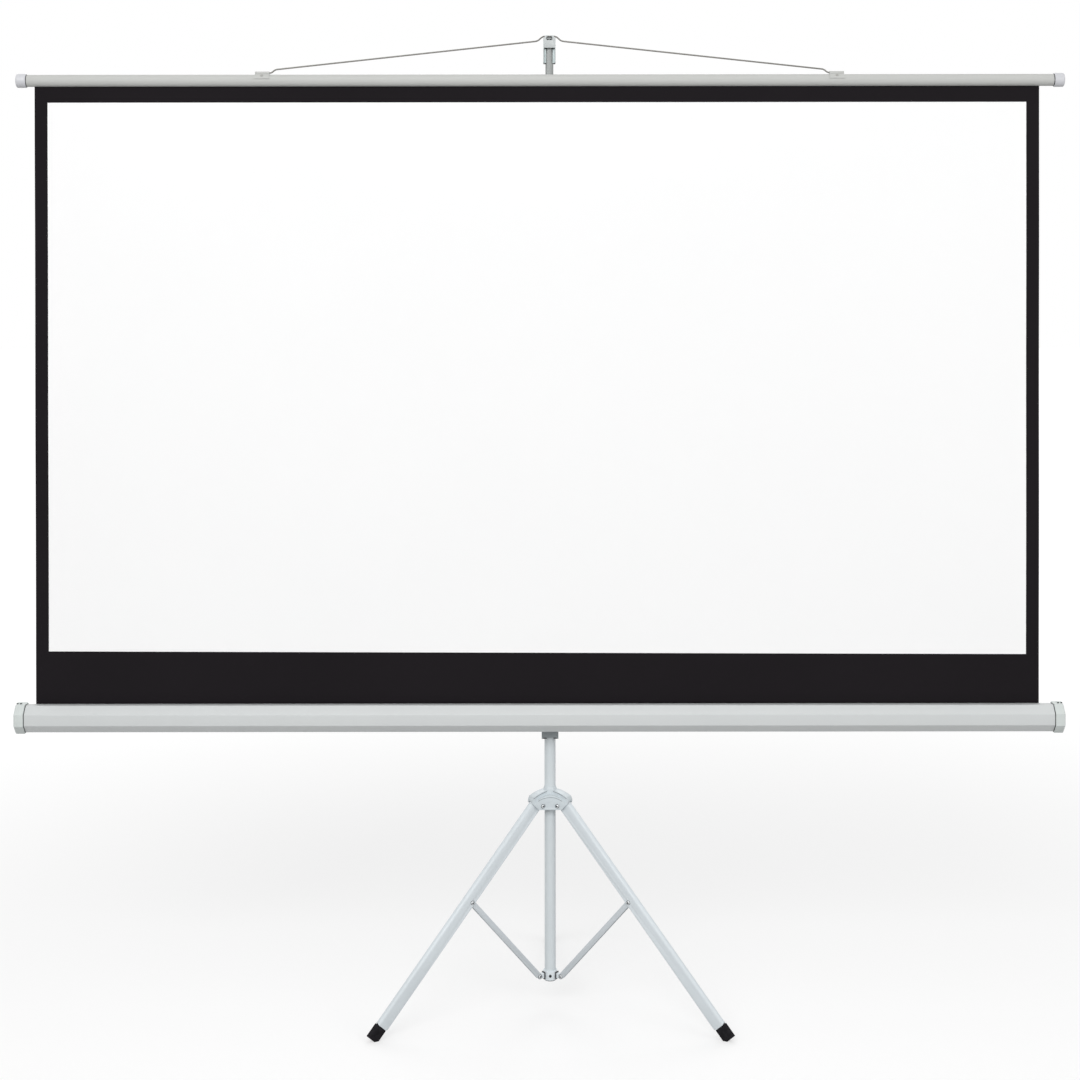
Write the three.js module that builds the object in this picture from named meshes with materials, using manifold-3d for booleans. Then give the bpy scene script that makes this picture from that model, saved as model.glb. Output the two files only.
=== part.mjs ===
// Tripod projector screen, standing open with its sheet pulled up. Millimetres, +Z up, the viewer on
// the -Y side. The model is drawn about the mast axis with the floor at zero, and is shifted at the end
// so that its origin is the middle of its footprint on the floor.
import * as THREE from "three";
import { mergeVertices } from "three/addons/utils/BufferGeometryUtils.js";
import Module from "manifold-3d";

const wasm = await Module();
wasm.setup();

// Clearances and cutting allowance
const FIT = 0.3; // gap between pieces that touch, turn or slide on each other
const OVERRUN = 2; // how far a cutter reaches past what it cuts
const CUTTER_REACH = 60; // half length of a cutter that goes right through a small piece
const SIDES = 12; // facets round a small pin
const TUBE_SIDES = 20; // facets round a tube

// Mast and extension rod
const MAST_RADIUS = 12.7;
const MAST_WALL = 1.2;
const MAST_TOP_HEIGHT = 1500;
const ROD_WIDTH = 18;
const ROD_CORNER = 4.2;
const ROD_WALL = 1.2;
const ROD_LENGTH = 1000;
const ROD_TAPER_LENGTH = 34;
const ROD_TIP_WIDTH = 8;
const ROD_GUIDE_LENGTH = 22;

// Screen sheet and the case it rolls into
const SHEET_WIDTH = 2268;
const SHEET_THICKNESS = 0.6;
const SHEET_VISIBLE_HEIGHT = 1394;
const SHEET_LEFT_OF_CASE = 4.5; // the sheet hangs a little off the middle of its case
const SHEET_BEHIND_CASE = 11; // the slot lies behind the case's middle
const CASE_ABOVE_HUB_PIVOTS = 206.7; // case centre above the pivots of the open legs
const CASE_PAST_SHEET = 22; // the case tube reaches this far past half the sheet
const CASE_ACROSS = 60; // octagon across its flats
const CASE_WALL = 1.6;
const CASE_LEFT_OF_MAST = 24; // the carriage sits right of the case's middle
const SLOT_WIDTH = 7;
const CAP_ACROSS = 66;
const CAP_LENGTH = 23;
const CAP_BEVEL = 4;
const CAP_SPIGOT_LENGTH = 14;
const CAP_WALL = 2.4;
const CAP_BOSS_WALL = 3.6;

// Roller inside the case
const ROLLER_RADIUS = 17;
const ROLLER_WALL = 1;
const WOUND_RADIUS = 19.4;
const ROLLER_END_GAP = 4; // from the roller's end to the cap's boss
const IDLER_PIN_RADIUS = 3;
const ARBOR_RADIUS = 3.5;
const ARBOR_LENGTH = 620;
const ROLLER_PLUG_LENGTH = 18;
const SPRING_RADIUS = 10;
const SPRING_WIRE = 1.6;
const SPRING_TURNS = 18;
const SPRING_LENGTH = 480;
const SPRING_STEPS_PER_TURN = 8;
const SPRING_SIDES = 5;

// Top tube, its brackets and the wire bail
const TOP_TUBE_RADIUS = 13.5;
const TOP_TUBE_WALL = 1.4;
const TOP_TUBE_PAST_SHEET = 24;
const TOP_TUBE_RIGHT_OF_CASE = 3;
const TOP_SLOT_WIDTH = 3;
const TOP_CAP_RADIUS = 15.8;
const TOP_CAP_LENGTH = 24;
const TOP_CAP_ROUND = 6;
const TOP_CAP_SPIGOT = 16;
const BRACKET_FROM_HOOK = 648;
const BRACKET_LENGTH = 33;
const BRACKET_THICKNESS = 1.6;
const BRACKET_DROP_ANGLE = 78; // degrees round the tube that the bracket wraps
const WIRE_RADIUS = 1.75;
const BAIL_RISE = 84.7; // crest above the pivot line
const BAIL_LEAN_DEPTH = 31; // crest behind the pivot line
const BAIL_END_INSIDE = 20; // wire end inside its bracket
const BAIL_SHOULDER = 24; // run of the bend where the wire leaves the bracket
const BAIL_SHOULDER_RISE = 8;
const BAIL_NECK_HALF = 27; // half width of the bent-up middle
const BAIL_NECK_RISE = 75;
const BAIL_CREST_PAST_CLIP = 1; // the flat crest reaches this far past each side of the clip
const BAIL_BEND_STEPS = 10;
const BAIL_CREST_STEPS = 24;

// Hook clip on top of the rod
const CLIP_WIDTH = 28;
const CLIP_WALL = 1.5;
const CLIP_BOTTOM_RISE = 43; // above the top tube's axis
const CLIP_FRONT_HEIGHT = 22.5;
const HOOK_PLAY = 1.6; // room for the wire before and behind it in the hook
const HEAD_WIDTH = 21.6;
const HEAD_RISE = 5.6; // hook head above the clip
const HEAD_HOLE_WIDTH = 14.4;
const HEAD_HOLE_HEIGHT = 9.2;
const HEAD_HOLE_DROP = 0.7; // middle of the hole below the top of the clip

// Carriage that holds the case on the mast
const CARRIAGE_WIDTH = 38;
const CARRIAGE_WALL = 2;
const CARRIAGE_ROOM = 4; // from the mast to the channel's inner face
const CARRIAGE_BELOW_CASE = 57;
const CARRIAGE_ABOVE_CASE = 54;
const CARRIAGE_FRONT_CUT = 3; // the front plate ends this far above the sides
const CARRIAGE_SKIRT = 14; // the open part below the slide block, which the hub's neck enters when folded
const PIVOT_PLATE_RADIUS = 17;
const PIVOT_PLATE_THICKNESS = 3;
const SADDLE_WIDTH = 120;
const SADDLE_HEIGHT = 23;
const SADDLE_THICKNESS = 2;
const BOLT_RADIUS = 4;
const BOLT_HEAD_RADIUS = 6.4;
const NUT_RADIUS = 6.5; // to its corners
const NUT_THICKNESS = 2.4;
const LOCK_LEVER_LENGTH = 44;
const LOCK_LEVER_WIDTH = 16;
const LOCK_LEVER_THICKNESS = 4;
const LOCK_PIN_RADIUS = 2.2;

// Tripod linkage: hub pivot, brace rivet and collar pivot of a leg lie in one upright plane, with
// equal links
const LINK_LENGTH = 262.4;
const LEG_ANGLE = 41.7; // degrees from upright when open
const PIVOT_FROM_AXIS = 30;
const COLLAR_PIVOT_HEIGHT = 69.5;
const LEG_DIRECTIONS = { rear: 90, left: 210, right: 330 }; // degrees from +X

// Leg, a rounded channel open towards the mast
const LEG_DEPTH = 28;
const LEG_THICKNESS = 15;
const LEG_WALL = 1.4;
const LEG_INNER_EDGE = 6; // from the pivot line to the open edge
const LEG_ABOVE_PIVOT = 9;
const LEG_CORNER = 5;

// Brace, a smaller channel that lies inside the leg when folded
const BRACE_DEPTH = 12;
const BRACE_WALL = 1.2;
const BRACE_SIDE_PLAY = 0.5;
const BRACE_WEB_START = 17; // the web is cut back here so the collar's tongue can enter

// Rivets and screws
const RIVET_RADIUS = 2.5;
const RIVET_HEAD_RADIUS = 4.3;
const RIVET_HEAD_HEIGHT = 2;
const SMALL_SCREW_RADIUS = 1.8;
const SMALL_SCREW_HEAD = 3.2;
const SMALL_SCREW_HEAD_HEIGHT = 1.5;

// Collar at the bottom of the mast
const COLLAR_RADIUS = 15.8;
const COLLAR_HEIGHT = 21;
const TONGUE_HEIGHT = 11;
const TONGUE_PLAY = 0.4;
const PLUG_LENGTH = 12;

// Hub
const HUB_SLEEVE_WALL = 2.2;
const HUB_CHEEK_WALL = 2;
const HUB_ROOF_WALL = 2.4;
const HUB_NECK_RISE = 40; // above the leg pivots
const HUB_SHOULDER_RISE = 32;
const HUB_TIP_REACH = 54.5;
const HUB_TIP_RISE = 14.5;
const HUB_TIP_ROUND = 5.4;
const HUB_BOTTOM_DROP = 8.5;
const HUB_NECK_FLARE = 0.9;
const HUB_NECK_ROUND = 2;
const HUB_LOWER_SHARE = 0.66; // how far out the flat lower edge runs before it slants up to the tip
const HUB_ARCH_SHARE = 0.6; // where the roof's arch is fullest
const HUB_CURVE_STEPS = 4;
const HUB_WEB_FRONT = 33; // flat plates between the lobes, from the mast's axis
const HUB_WEB_HALF = 37.5;
const HUB_WEB_RISE = 23;
const HUB_WEB_SIDE_RISE = 5;
const HUB_WEB_ARCH_SHARE = 0.6; // where a plate's arch is fullest
const HUB_RIVET_SEAT = 20.2; // from a leg's middle plane to its rivet's head

// Rubber feet
const FOOT_BELOW_LEG = 33;
const FOOT_SPIGOT = 24;
const FOOT_OUTWARD = 1.6; // the rubber sits a little to the outer side of the leg
const FOOT_FLAT_DEPTH = 5; // how much of the inner corner is cut flat where it stands on the floor

// Sleeve and lock on top of the mast tube
const SLEEVE_HEIGHT = 46;
const SLEEVE_WALL = 4;
const SLEEVE_RIM = 4;
const BUTTON_WIDTH = 12;
const BUTTON_HEIGHT = 16;
const BUTTON_PROUD = 5;

const FINISHES = {
  paint: { color: 0xccd3d6, roughness: 0.45, metalness: 0.2 },
  caseSkin: { color: 0xd0d4d6, roughness: 0.4, metalness: 0.2 },
  endPlastic: { color: 0xdbe1de, roughness: 0.5, metalness: 0 },
  tubeMetal: { color: 0xc9c9c6, roughness: 0.35, metalness: 0.5 },
  darkPaint: { color: 0x767c7e, roughness: 0.5, metalness: 0.2 },
  steel: { color: 0xb8bcbe, roughness: 0.25, metalness: 0.9 },
  rubber: { color: 0x262529, roughness: 0.85, metalness: 0 },
  blackPlastic: { color: 0x2b2b2d, roughness: 0.6, metalness: 0 },
  sheet: { color: 0xf6f6f6, roughness: 0.9, metalness: 0 },
};

const root = new THREE.Group();

const radians = (degrees) => (degrees * Math.PI) / 180;

// Adds one named piece to a group
function addPiece(group, name, geometry, finish) {
  const piece = new THREE.Mesh(geometry, new THREE.MeshStandardMaterial(FINISHES[finish]));
  piece.name = name;
  group.add(piece);
  return piece;
}

// Turns a closed geometry into a solid that can be cut and joined
function toSolid(geometry) {
  const bare = geometry.clone();
  bare.deleteAttribute("normal");
  bare.deleteAttribute("uv");
  const merged = mergeVertices(bare, 1e-4);
  return new wasm.Manifold(
    new wasm.Mesh({
      numProp: 3,
      vertProperties: new Float32Array(merged.attributes.position.array),
      triVerts: new Uint32Array(merged.index.array),
    }),
  );
}

function toGeometry(solid) {
  const mesh = solid.getMesh();
  const geometry = new THREE.BufferGeometry();
  geometry.setAttribute("position", new THREE.BufferAttribute(new Float32Array(mesh.vertProperties), 3));
  geometry.setIndex(new THREE.BufferAttribute(new Uint32Array(mesh.triVerts), 1));
  return geometry;
}

const combine = (method, first, others) =>
  toGeometry(others.reduce((solid, other) => solid[method](toSolid(other)), toSolid(first)));
const add = (first, ...others) => combine("add", first, others);
const subtract = (first, ...others) => combine("subtract", first, others);
const intersect = (first, ...others) => combine("intersect", first, others);

// A box between two corners
function boxBetween(low, high) {
  const size = high.map((value, i) => value - low[i]);
  const middle = high.map((value, i) => (value + low[i]) / 2);
  return new THREE.BoxGeometry(...size).translate(...middle);
}

const shapeOf = (points) => new THREE.Shape(points.map(([x, y]) => new THREE.Vector2(x, y)));

// An outline drawn in X and Y, raised along Z between two heights
function raise(shape, low, high, curveSegments = 6) {
  const settings = { depth: high - low, bevelEnabled: false, curveSegments };
  return new THREE.ExtrudeGeometry(shape, settings).translate(0, 0, low);
}

// An outline drawn in Y and Z (as its x and y), run along X between two places
const runAlongX = (shape, low, high, segments) =>
  raise(shape, low, high, segments).rotateY(Math.PI / 2).rotateX(Math.PI / 2);

// An outline drawn in X and Z (as its x and y), run along Y between two places
const runAlongY = (shape, low, high, segments) =>
  raise(shape, -high, -low, segments).rotateX(Math.PI / 2);

// A round pin along Z
const pinZ = (radius, low, high, sides = SIDES) =>
  new THREE.CylinderGeometry(radius, radius, high - low, sides)
    .rotateX(Math.PI / 2)
    .translate(0, 0, (low + high) / 2);
const pinY = (radius, low, high, sides = SIDES) =>
  new THREE.CylinderGeometry(radius, radius, high - low, sides).translate(0, (low + high) / 2, 0);
const pinX = (radius, low, high, sides = SIDES) =>
  new THREE.CylinderGeometry(radius, radius, high - low, sides)
    .rotateZ(-Math.PI / 2)
    .translate((low + high) / 2, 0, 0);

// A tube along Z
const tubeZ = (outer, inner, low, high, sides = TUBE_SIDES) =>
  subtract(pinZ(outer, low, high, sides), pinZ(inner, low - OVERRUN, high + OVERRUN, sides));

// A rounded rectangle outline about a middle
function roundedRect(width, height, corner, middleX = 0, middleY = 0) {
  const [right, top] = [middleX + width / 2, middleY + height / 2];
  const [left, bottom] = [right - width, top - height];
  const shape = new THREE.Shape();
  shape.moveTo(left + corner, bottom);
  shape.lineTo(right - corner, bottom);
  shape.absarc(right - corner, bottom + corner, corner, -Math.PI / 2, 0);
  shape.lineTo(right, top - corner);
  shape.absarc(right - corner, top - corner, corner, 0, Math.PI / 2);
  shape.lineTo(left + corner, top);
  shape.absarc(left + corner, top - corner, corner, Math.PI / 2, Math.PI);
  shape.lineTo(left, bottom + corner);
  shape.absarc(left + corner, bottom + corner, corner, Math.PI, Math.PI * 1.5);
  return shape;
}

// A regular octagon outline standing on a flat
function octagonPoints(across) {
  const half = across / 2;
  const side = half * Math.tan(Math.PI / 8);
  return [
    [half, -side], [half, side], [side, half], [-side, half],
    [-half, side], [-half, -side], [-side, -half], [side, -half],
  ];
}

// A rivet along Y with a domed head at each end of its grip
function rivet(grip, radius = RIVET_RADIUS, headRadius = RIVET_HEAD_RADIUS, headHeight = RIVET_HEAD_HEIGHT) {
  const half = grip / 2;
  const crownShare = 0.55; // radius of the head's flat crown
  const end = half + headHeight;
  const outline = [
    [0, -end], [headRadius * crownShare, -end], [headRadius, -half], [radius, -half],
    [radius, half], [headRadius, half], [headRadius * crownShare, end], [0, end],
  ];
  return new THREE.LatheGeometry(outline.map(([x, y]) => new THREE.Vector2(x, y)), SIDES);
}

// Heights and places that several pieces share
const carriageFront = -MAST_RADIUS - CARRIAGE_ROOM - CARRIAGE_WALL;
const openCos = Math.cos(radians(LEG_ANGLE));
const openSin = Math.sin(radians(LEG_ANGLE));
const hubPivotHeight = COLLAR_PIVOT_HEIGHT + 2 * LINK_LENGTH * openCos;
const caseHeight = hubPivotHeight + CASE_ABOVE_HUB_PIVOTS;
const carriageBottom = caseHeight - CARRIAGE_BELOW_CASE;
const carriageTop = caseHeight + CARRIAGE_ABOVE_CASE;
const leverPinY = MAST_RADIUS + 2 * LOCK_PIN_RADIUS + 2 * FIT;
const leverPinHeight = carriageTop - LOCK_LEVER_THICKNESS * 2;
const carriageBack = leverPinY + 2 * LOCK_PIN_RADIUS;
const caseBack = carriageFront - PIVOT_PLATE_THICKNESS - SADDLE_THICKNESS - 3 * FIT;
const caseY = caseBack - CASE_ACROSS / 2;
const sheetY = caseY + SHEET_BEHIND_CASE;
const collarBottom = COLLAR_PIVOT_HEIGHT - COLLAR_HEIGHT / 2;
const caseSpan = SHEET_WIDTH + 2 * CASE_PAST_SHEET;
const topTubeLength = SHEET_WIDTH + 2 * TOP_TUBE_PAST_SHEET;
const caseX = -CASE_LEFT_OF_MAST;
const sheetX = caseX - SHEET_LEFT_OF_CASE;
const topTubeX = caseX + TOP_TUBE_RIGHT_OF_CASE;
const caseTop = caseHeight + CASE_ACROSS / 2;
const topTubeHeight = caseTop + SHEET_VISIBLE_HEIGHT + TOP_TUBE_RADIUS;
const braceOuter = LEG_THICKNESS / 2 - LEG_WALL - BRACE_SIDE_PLAY;
const braceInner = braceOuter - BRACE_WALL;
const bailPivotRise = TOP_TUBE_RADIUS + BRACKET_THICKNESS + WIRE_RADIUS + FIT;
const clipTop = topTubeHeight + bailPivotRise + BAIL_RISE - WIRE_RADIUS - FIT;
const rodTop = clipTop - CLIP_WALL - FIT;
const footInner = LEG_INNER_EDGE - OVERRUN;
const legReach = (hubPivotHeight + FOOT_FLAT_DEPTH - footInner * openSin) / openCos;
const legBelowPivot = legReach - FOOT_BELOW_LEG;
const lockHeight = MAST_TOP_HEIGHT - SLEEVE_HEIGHT / 2;
const clipRivetHeight = topTubeHeight + CLIP_BOTTOM_RISE + SMALL_SCREW_HEAD * 2;
const clipRivetHole = () => pinY(SMALL_SCREW_RADIUS + FIT, 0, CLIP_WIDTH).translate(0, 0, clipRivetHeight);
const crestY = sheetY + BAIL_LEAN_DEPTH;
const clipFront = crestY - WIRE_RADIUS - HOOK_PLAY - CLIP_WALL;
const crestBack = crestY + WIRE_RADIUS + HOOK_PLAY;
const rollerHalf = caseSpan / 2 - CAP_SPIGOT_LENGTH / 2 - ROLLER_END_GAP;

// Mast: the outer tube, its bottom plug, the collar that carries the braces, and the sleeve on top
function buildMast(group) {
  const tube = tubeZ(MAST_RADIUS, MAST_RADIUS - MAST_WALL, collarBottom, MAST_TOP_HEIGHT);
  const screwHole = pinY(SMALL_SCREW_RADIUS + FIT, -COLLAR_RADIUS - OVERRUN, 0)
    .translate(0, 0, COLLAR_PIVOT_HEIGHT);
  const buttonHole = boxBetween(
    [-BUTTON_WIDTH / 2 - FIT, 0, lockHeight - BUTTON_HEIGHT / 2 - FIT],
    [BUTTON_WIDTH / 2 + FIT, MAST_RADIUS + SLEEVE_WALL + OVERRUN, lockHeight + BUTTON_HEIGHT / 2 + FIT],
  );
  addPiece(group, "mast_tube", subtract(tube, screwHole, buttonHole), "paint");
  addPiece(group, "mast_bottom_plug", mastPlug(), "blackPlastic");
  addPiece(group, "mast_collar", subtract(collarBody(), screwHole), "paint");
  const screw = screwAlongY(COLLAR_RADIUS + FIT, COLLAR_RADIUS - MAST_RADIUS + MAST_WALL * 2);
  addPiece(group, "collar_screw", screw.translate(0, 0, COLLAR_PIVOT_HEIGHT), "steel");
  addPiece(group, "mast_top_sleeve", subtract(mastSleeve(), buttonHole), "blackPlastic");
}

// A round-headed screw along Y whose head sits at -reach and whose shank runs towards +Y
function screwAlongY(reach, shankLength) {
  const shank = pinY(SMALL_SCREW_RADIUS, -reach, -reach + shankLength);
  const head = pinY(SMALL_SCREW_HEAD, -reach - SMALL_SCREW_HEAD_HEIGHT, -reach);
  return add(shank, head);
}

function mastPlug() {
  const bore = MAST_RADIUS - MAST_WALL - FIT;
  const flangeTop = collarBottom - FIT;
  const flangeThickness = MAST_WALL * 2;
  const body = pinZ(bore, flangeTop, collarBottom + PLUG_LENGTH / 2, TUBE_SIDES);
  return add(body, pinZ(MAST_RADIUS, flangeTop - flangeThickness, flangeTop, TUBE_SIDES));
}

// The collar: a short ring with one tongue towards each leg, where the brace is riveted
function collarBody() {
  const low = collarBottom;
  const high = collarBottom + COLLAR_HEIGHT;
  const tongueHalf = braceInner - TONGUE_PLAY;
  const tongueEnd = TONGUE_HEIGHT / 2;
  const tongues = Object.values(LEG_DIRECTIONS).map((direction) => {
    const outline = new THREE.Shape();
    outline.moveTo(MAST_RADIUS + OVERRUN, -tongueEnd);
    outline.lineTo(PIVOT_FROM_AXIS, -tongueEnd);
    outline.absarc(PIVOT_FROM_AXIS, 0, tongueEnd, -Math.PI / 2, Math.PI / 2);
    outline.lineTo(MAST_RADIUS + OVERRUN, tongueEnd);
    const hole = pinY(RIVET_RADIUS + FIT, -LEG_THICKNESS, LEG_THICKNESS).translate(PIVOT_FROM_AXIS, 0, 0);
    const tongue = subtract(runAlongY(outline, -tongueHalf, tongueHalf), hole);
    return tongue.translate(0, 0, COLLAR_PIVOT_HEIGHT).rotateZ(radians(direction));
  });
  const ring = pinZ(COLLAR_RADIUS, low, high, TUBE_SIDES);
  const bore = pinZ(MAST_RADIUS + FIT, low - OVERRUN, high + OVERRUN, TUBE_SIDES);
  return subtract(add(ring, ...tongues), bore);
}

// The moulded sleeve that guides the rod at the mast's top, with a rim over the tube's end
function mastSleeve() {
  const outer = MAST_RADIUS + SLEEVE_WALL;
  const low = MAST_TOP_HEIGHT - SLEEVE_HEIGHT;
  const high = MAST_TOP_HEIGHT + SLEEVE_RIM;
  const chamfer = SLEEVE_WALL / 2;
  const body = [
    [0, low], [outer - chamfer, low], [outer, low + chamfer],
    [outer, high - chamfer], [outer - chamfer, high], [0, high],
  ];
  const solid = lathe(body, TUBE_SIDES);
  const tubeSocket = pinZ(MAST_RADIUS + FIT, low - OVERRUN, MAST_TOP_HEIGHT + FIT, TUBE_SIDES);
  const window = roundedRect(ROD_WIDTH + 2 * FIT, ROD_WIDTH + 2 * FIT, ROD_CORNER);
  return subtract(solid, tubeSocket, raise(window, low, high + OVERRUN, 2));
}

// A solid of revolution about Z from radius and height pairs that start and end on the axis
const lathe = (outline, sides = SIDES) =>
  new THREE.LatheGeometry(outline.map(([x, y]) => new THREE.Vector2(x, y)), sides).rotateX(Math.PI / 2);

// The push button in the sleeve whose tip rests on the rod and holds it up
function buildRodLock(group) {
  const inside = ROD_WIDTH / 2 + FIT;
  const outside = MAST_RADIUS + SLEEVE_WALL + BUTTON_PROUD;
  const half = BUTTON_WIDTH / 2;
  const chamfer = BUTTON_PROUD / 4;
  const outline = shapeOf([
    [-half, inside], [half, inside], [half, outside - chamfer], [half - chamfer, outside],
    [chamfer - half, outside], [-half, outside - chamfer],
  ]);
  const button = raise(outline, lockHeight - BUTTON_HEIGHT / 2, lockHeight + BUTTON_HEIGHT / 2);
  addPiece(group, "rod_lock_button", button, "blackPlastic");
}

// Extension rod: a rounded square tube whose top is pinched to a wedge, with a guide plug at the bottom
function buildRod(group) {
  const low = rodTop - ROD_LENGTH;
  const outer = raise(roundedRect(ROD_WIDTH, ROD_WIDTH, ROD_CORNER), low, rodTop, 2);
  const innerWidth = ROD_WIDTH - 2 * ROD_WALL;
  const boreOutline = roundedRect(innerWidth, innerWidth, ROD_CORNER - ROD_WALL);
  const bore = raise(boreOutline, low - OVERRUN, rodTop - ROD_TAPER_LENGTH - ROD_WALL, 2);
  const half = ROD_WIDTH / 2 + OVERRUN;
  const tip = ROD_TIP_WIDTH / 2;
  const shoulder = rodTop - ROD_TAPER_LENGTH;
  const slope = (ROD_WIDTH / 2 - tip) / ROD_TAPER_LENGTH;
  const cutters = [-1, 1].map((side) => {
    const points = [
      [side * (ROD_WIDTH / 2 + OVERRUN * slope), shoulder - OVERRUN], [side * half, shoulder - OVERRUN],
      [side * half, rodTop + OVERRUN], [side * (tip - OVERRUN * slope), rodTop + OVERRUN],
    ];
    return runAlongY(shapeOf(side > 0 ? points : points.reverse()), -half, half);
  });
  addPiece(group, "extension_rod", subtract(outer, bore, clipRivetHole(), ...cutters), "tubeMetal");
  addPiece(group, "rod_guide_plug", rodGuide(low, innerWidth), "blackPlastic");
}

function rodGuide(rodBottom, innerWidth) {
  const flangeRadius = MAST_RADIUS - MAST_WALL - FIT;
  const flange = pinZ(flangeRadius, rodBottom - ROD_GUIDE_LENGTH, rodBottom - FIT, TUBE_SIDES);
  const spigotWidth = innerWidth - 2 * FIT;
  const spigot = roundedRect(spigotWidth, spigotWidth, ROD_CORNER - ROD_WALL);
  return add(flange, raise(spigot, rodBottom - ROD_GUIDE_LENGTH / 2, rodBottom + ROD_GUIDE_LENGTH, 2));
}

// Hook clip: a folded channel on the rod's top, with a head plate in front of the bail's crest
function buildHookClip(group) {
  const low = topTubeHeight + CLIP_BOTTOM_RISE;
  const high = clipTop;
  const half = CLIP_WIDTH / 2;
  const back = ROD_WIDTH / 2 + FIT + CLIP_WALL;
  const front = clipFront;
  const box = boxBetween([-half, front, low], [half, back, high]);
  const hollow = boxBetween(
    [-half + CLIP_WALL, front + CLIP_WALL, low - OVERRUN],
    [half - CLIP_WALL, back - CLIP_WALL, high - CLIP_WALL],
  );
  const window = boxBetween(
    [-half + CLIP_WALL, front - OVERRUN, low - OVERRUN],
    [half - CLIP_WALL, front + CLIP_WALL, high - CLIP_FRONT_HEIGHT],
  );
  const head = hookHead(high, front);
  const backLip = boxBetween(
    [-HEAD_WIDTH / 2, crestBack, high - CLIP_WALL],
    [HEAD_WIDTH / 2, crestBack + CLIP_WALL, high + HEAD_RISE / 2],
  );
  const body = add(subtract(box, hollow, window), head, backLip);
  addPiece(group, "hook_clip", subtract(body, clipRivetHole(), hookHole(high, front)), "paint");
  const grip = ROD_WALL + CLIP_WALL + 3 * FIT;
  const gripMiddle = ROD_WIDTH / 2 - ROD_WALL / 2 + CLIP_WALL / 2 + FIT / 2;
  const fixing = rivet(grip, SMALL_SCREW_RADIUS, SMALL_SCREW_HEAD, SMALL_SCREW_HEAD_HEIGHT);
  addPiece(group, "hook_clip_rivet", fixing.translate(0, gripMiddle, clipRivetHeight), "steel");
}

// The rounded head plate that stands on the clip's front edge
const hookHead = (high, front) =>
  runAlongY(roundedRect(HEAD_WIDTH, 2 * HEAD_RISE, HEAD_RISE / 2, 0, high), front, front + CLIP_WALL, 4);

// The long hole through the head, which opens the roof under the bail's crest too
function hookHole(high, front) {
  const corner = (HEAD_HOLE_HEIGHT - FIT) / 2;
  const outline = roundedRect(HEAD_HOLE_WIDTH, HEAD_HOLE_HEIGHT, corner, 0, high - HEAD_HOLE_DROP);
  return runAlongY(outline, front - OVERRUN, crestY + WIRE_RADIUS, 4);
}

// Top tube: round with a slot underneath that grips the sheet's edge
function buildTopTube(group) {
  const half = topTubeLength / 2;
  const place = (geometry) => geometry.translate(topTubeX, sheetY, topTubeHeight);
  const tube = subtract(
    pinX(TOP_TUBE_RADIUS, -half, half, TUBE_SIDES),
    pinX(TOP_TUBE_RADIUS - TOP_TUBE_WALL, -half - OVERRUN, half + OVERRUN, TUBE_SIDES),
    boxBetween(
      [-half - OVERRUN, -TOP_SLOT_WIDTH / 2, -TOP_TUBE_RADIUS - OVERRUN],
      [half + OVERRUN, TOP_SLOT_WIDTH / 2, 0],
    ),
    ...[-1, 1].map((side) => bailScrewHole().translate(side * BRACKET_FROM_HOOK - topTubeX, 0, 0)),
  );
  addPiece(group, "top_tube", place(tube), "tubeMetal");
  addPiece(group, "top_cap_left", place(topCap().rotateZ(Math.PI).translate(-half, 0, 0)), "endPlastic");
  addPiece(group, "top_cap_right", place(topCap().translate(half, 0, 0)), "endPlastic");
}

// A moulded cap with a rounded outer edge and a spigot that fills the tube's end
function topCap() {
  const bore = TOP_TUBE_RADIUS - TOP_TUBE_WALL - FIT;
  const roundSteps = 3;
  const outline = [[0, -TOP_CAP_SPIGOT], [bore, -TOP_CAP_SPIGOT], [bore, FIT], [TOP_CAP_RADIUS, FIT]];
  for (let step = 0; step <= roundSteps; step += 1) {
    const angle = (step / roundSteps) * (Math.PI / 2);
    outline.push([
      TOP_CAP_RADIUS - TOP_CAP_ROUND * (1 - Math.cos(angle)),
      TOP_CAP_LENGTH - TOP_CAP_ROUND * (1 - Math.sin(angle)),
    ]);
  }
  outline.push([0, TOP_CAP_LENGTH]);
  return lathe(outline, TUBE_SIDES).rotateY(Math.PI / 2);
}

// The bail screws point into the tube at a slant, a share of the way round their bracket
const SCREW_PLACE_SHARE = 0.62;
const tiltToScrew = (geometry) =>
  geometry.rotateX(radians(BRACKET_DROP_ANGLE) * SCREW_PLACE_SHARE - Math.PI / 2);
const bailScrewHole = () => tiltToScrew(pinY(SMALL_SCREW_RADIUS + FIT, -TOP_TUBE_RADIUS * 2, 0));

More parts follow.
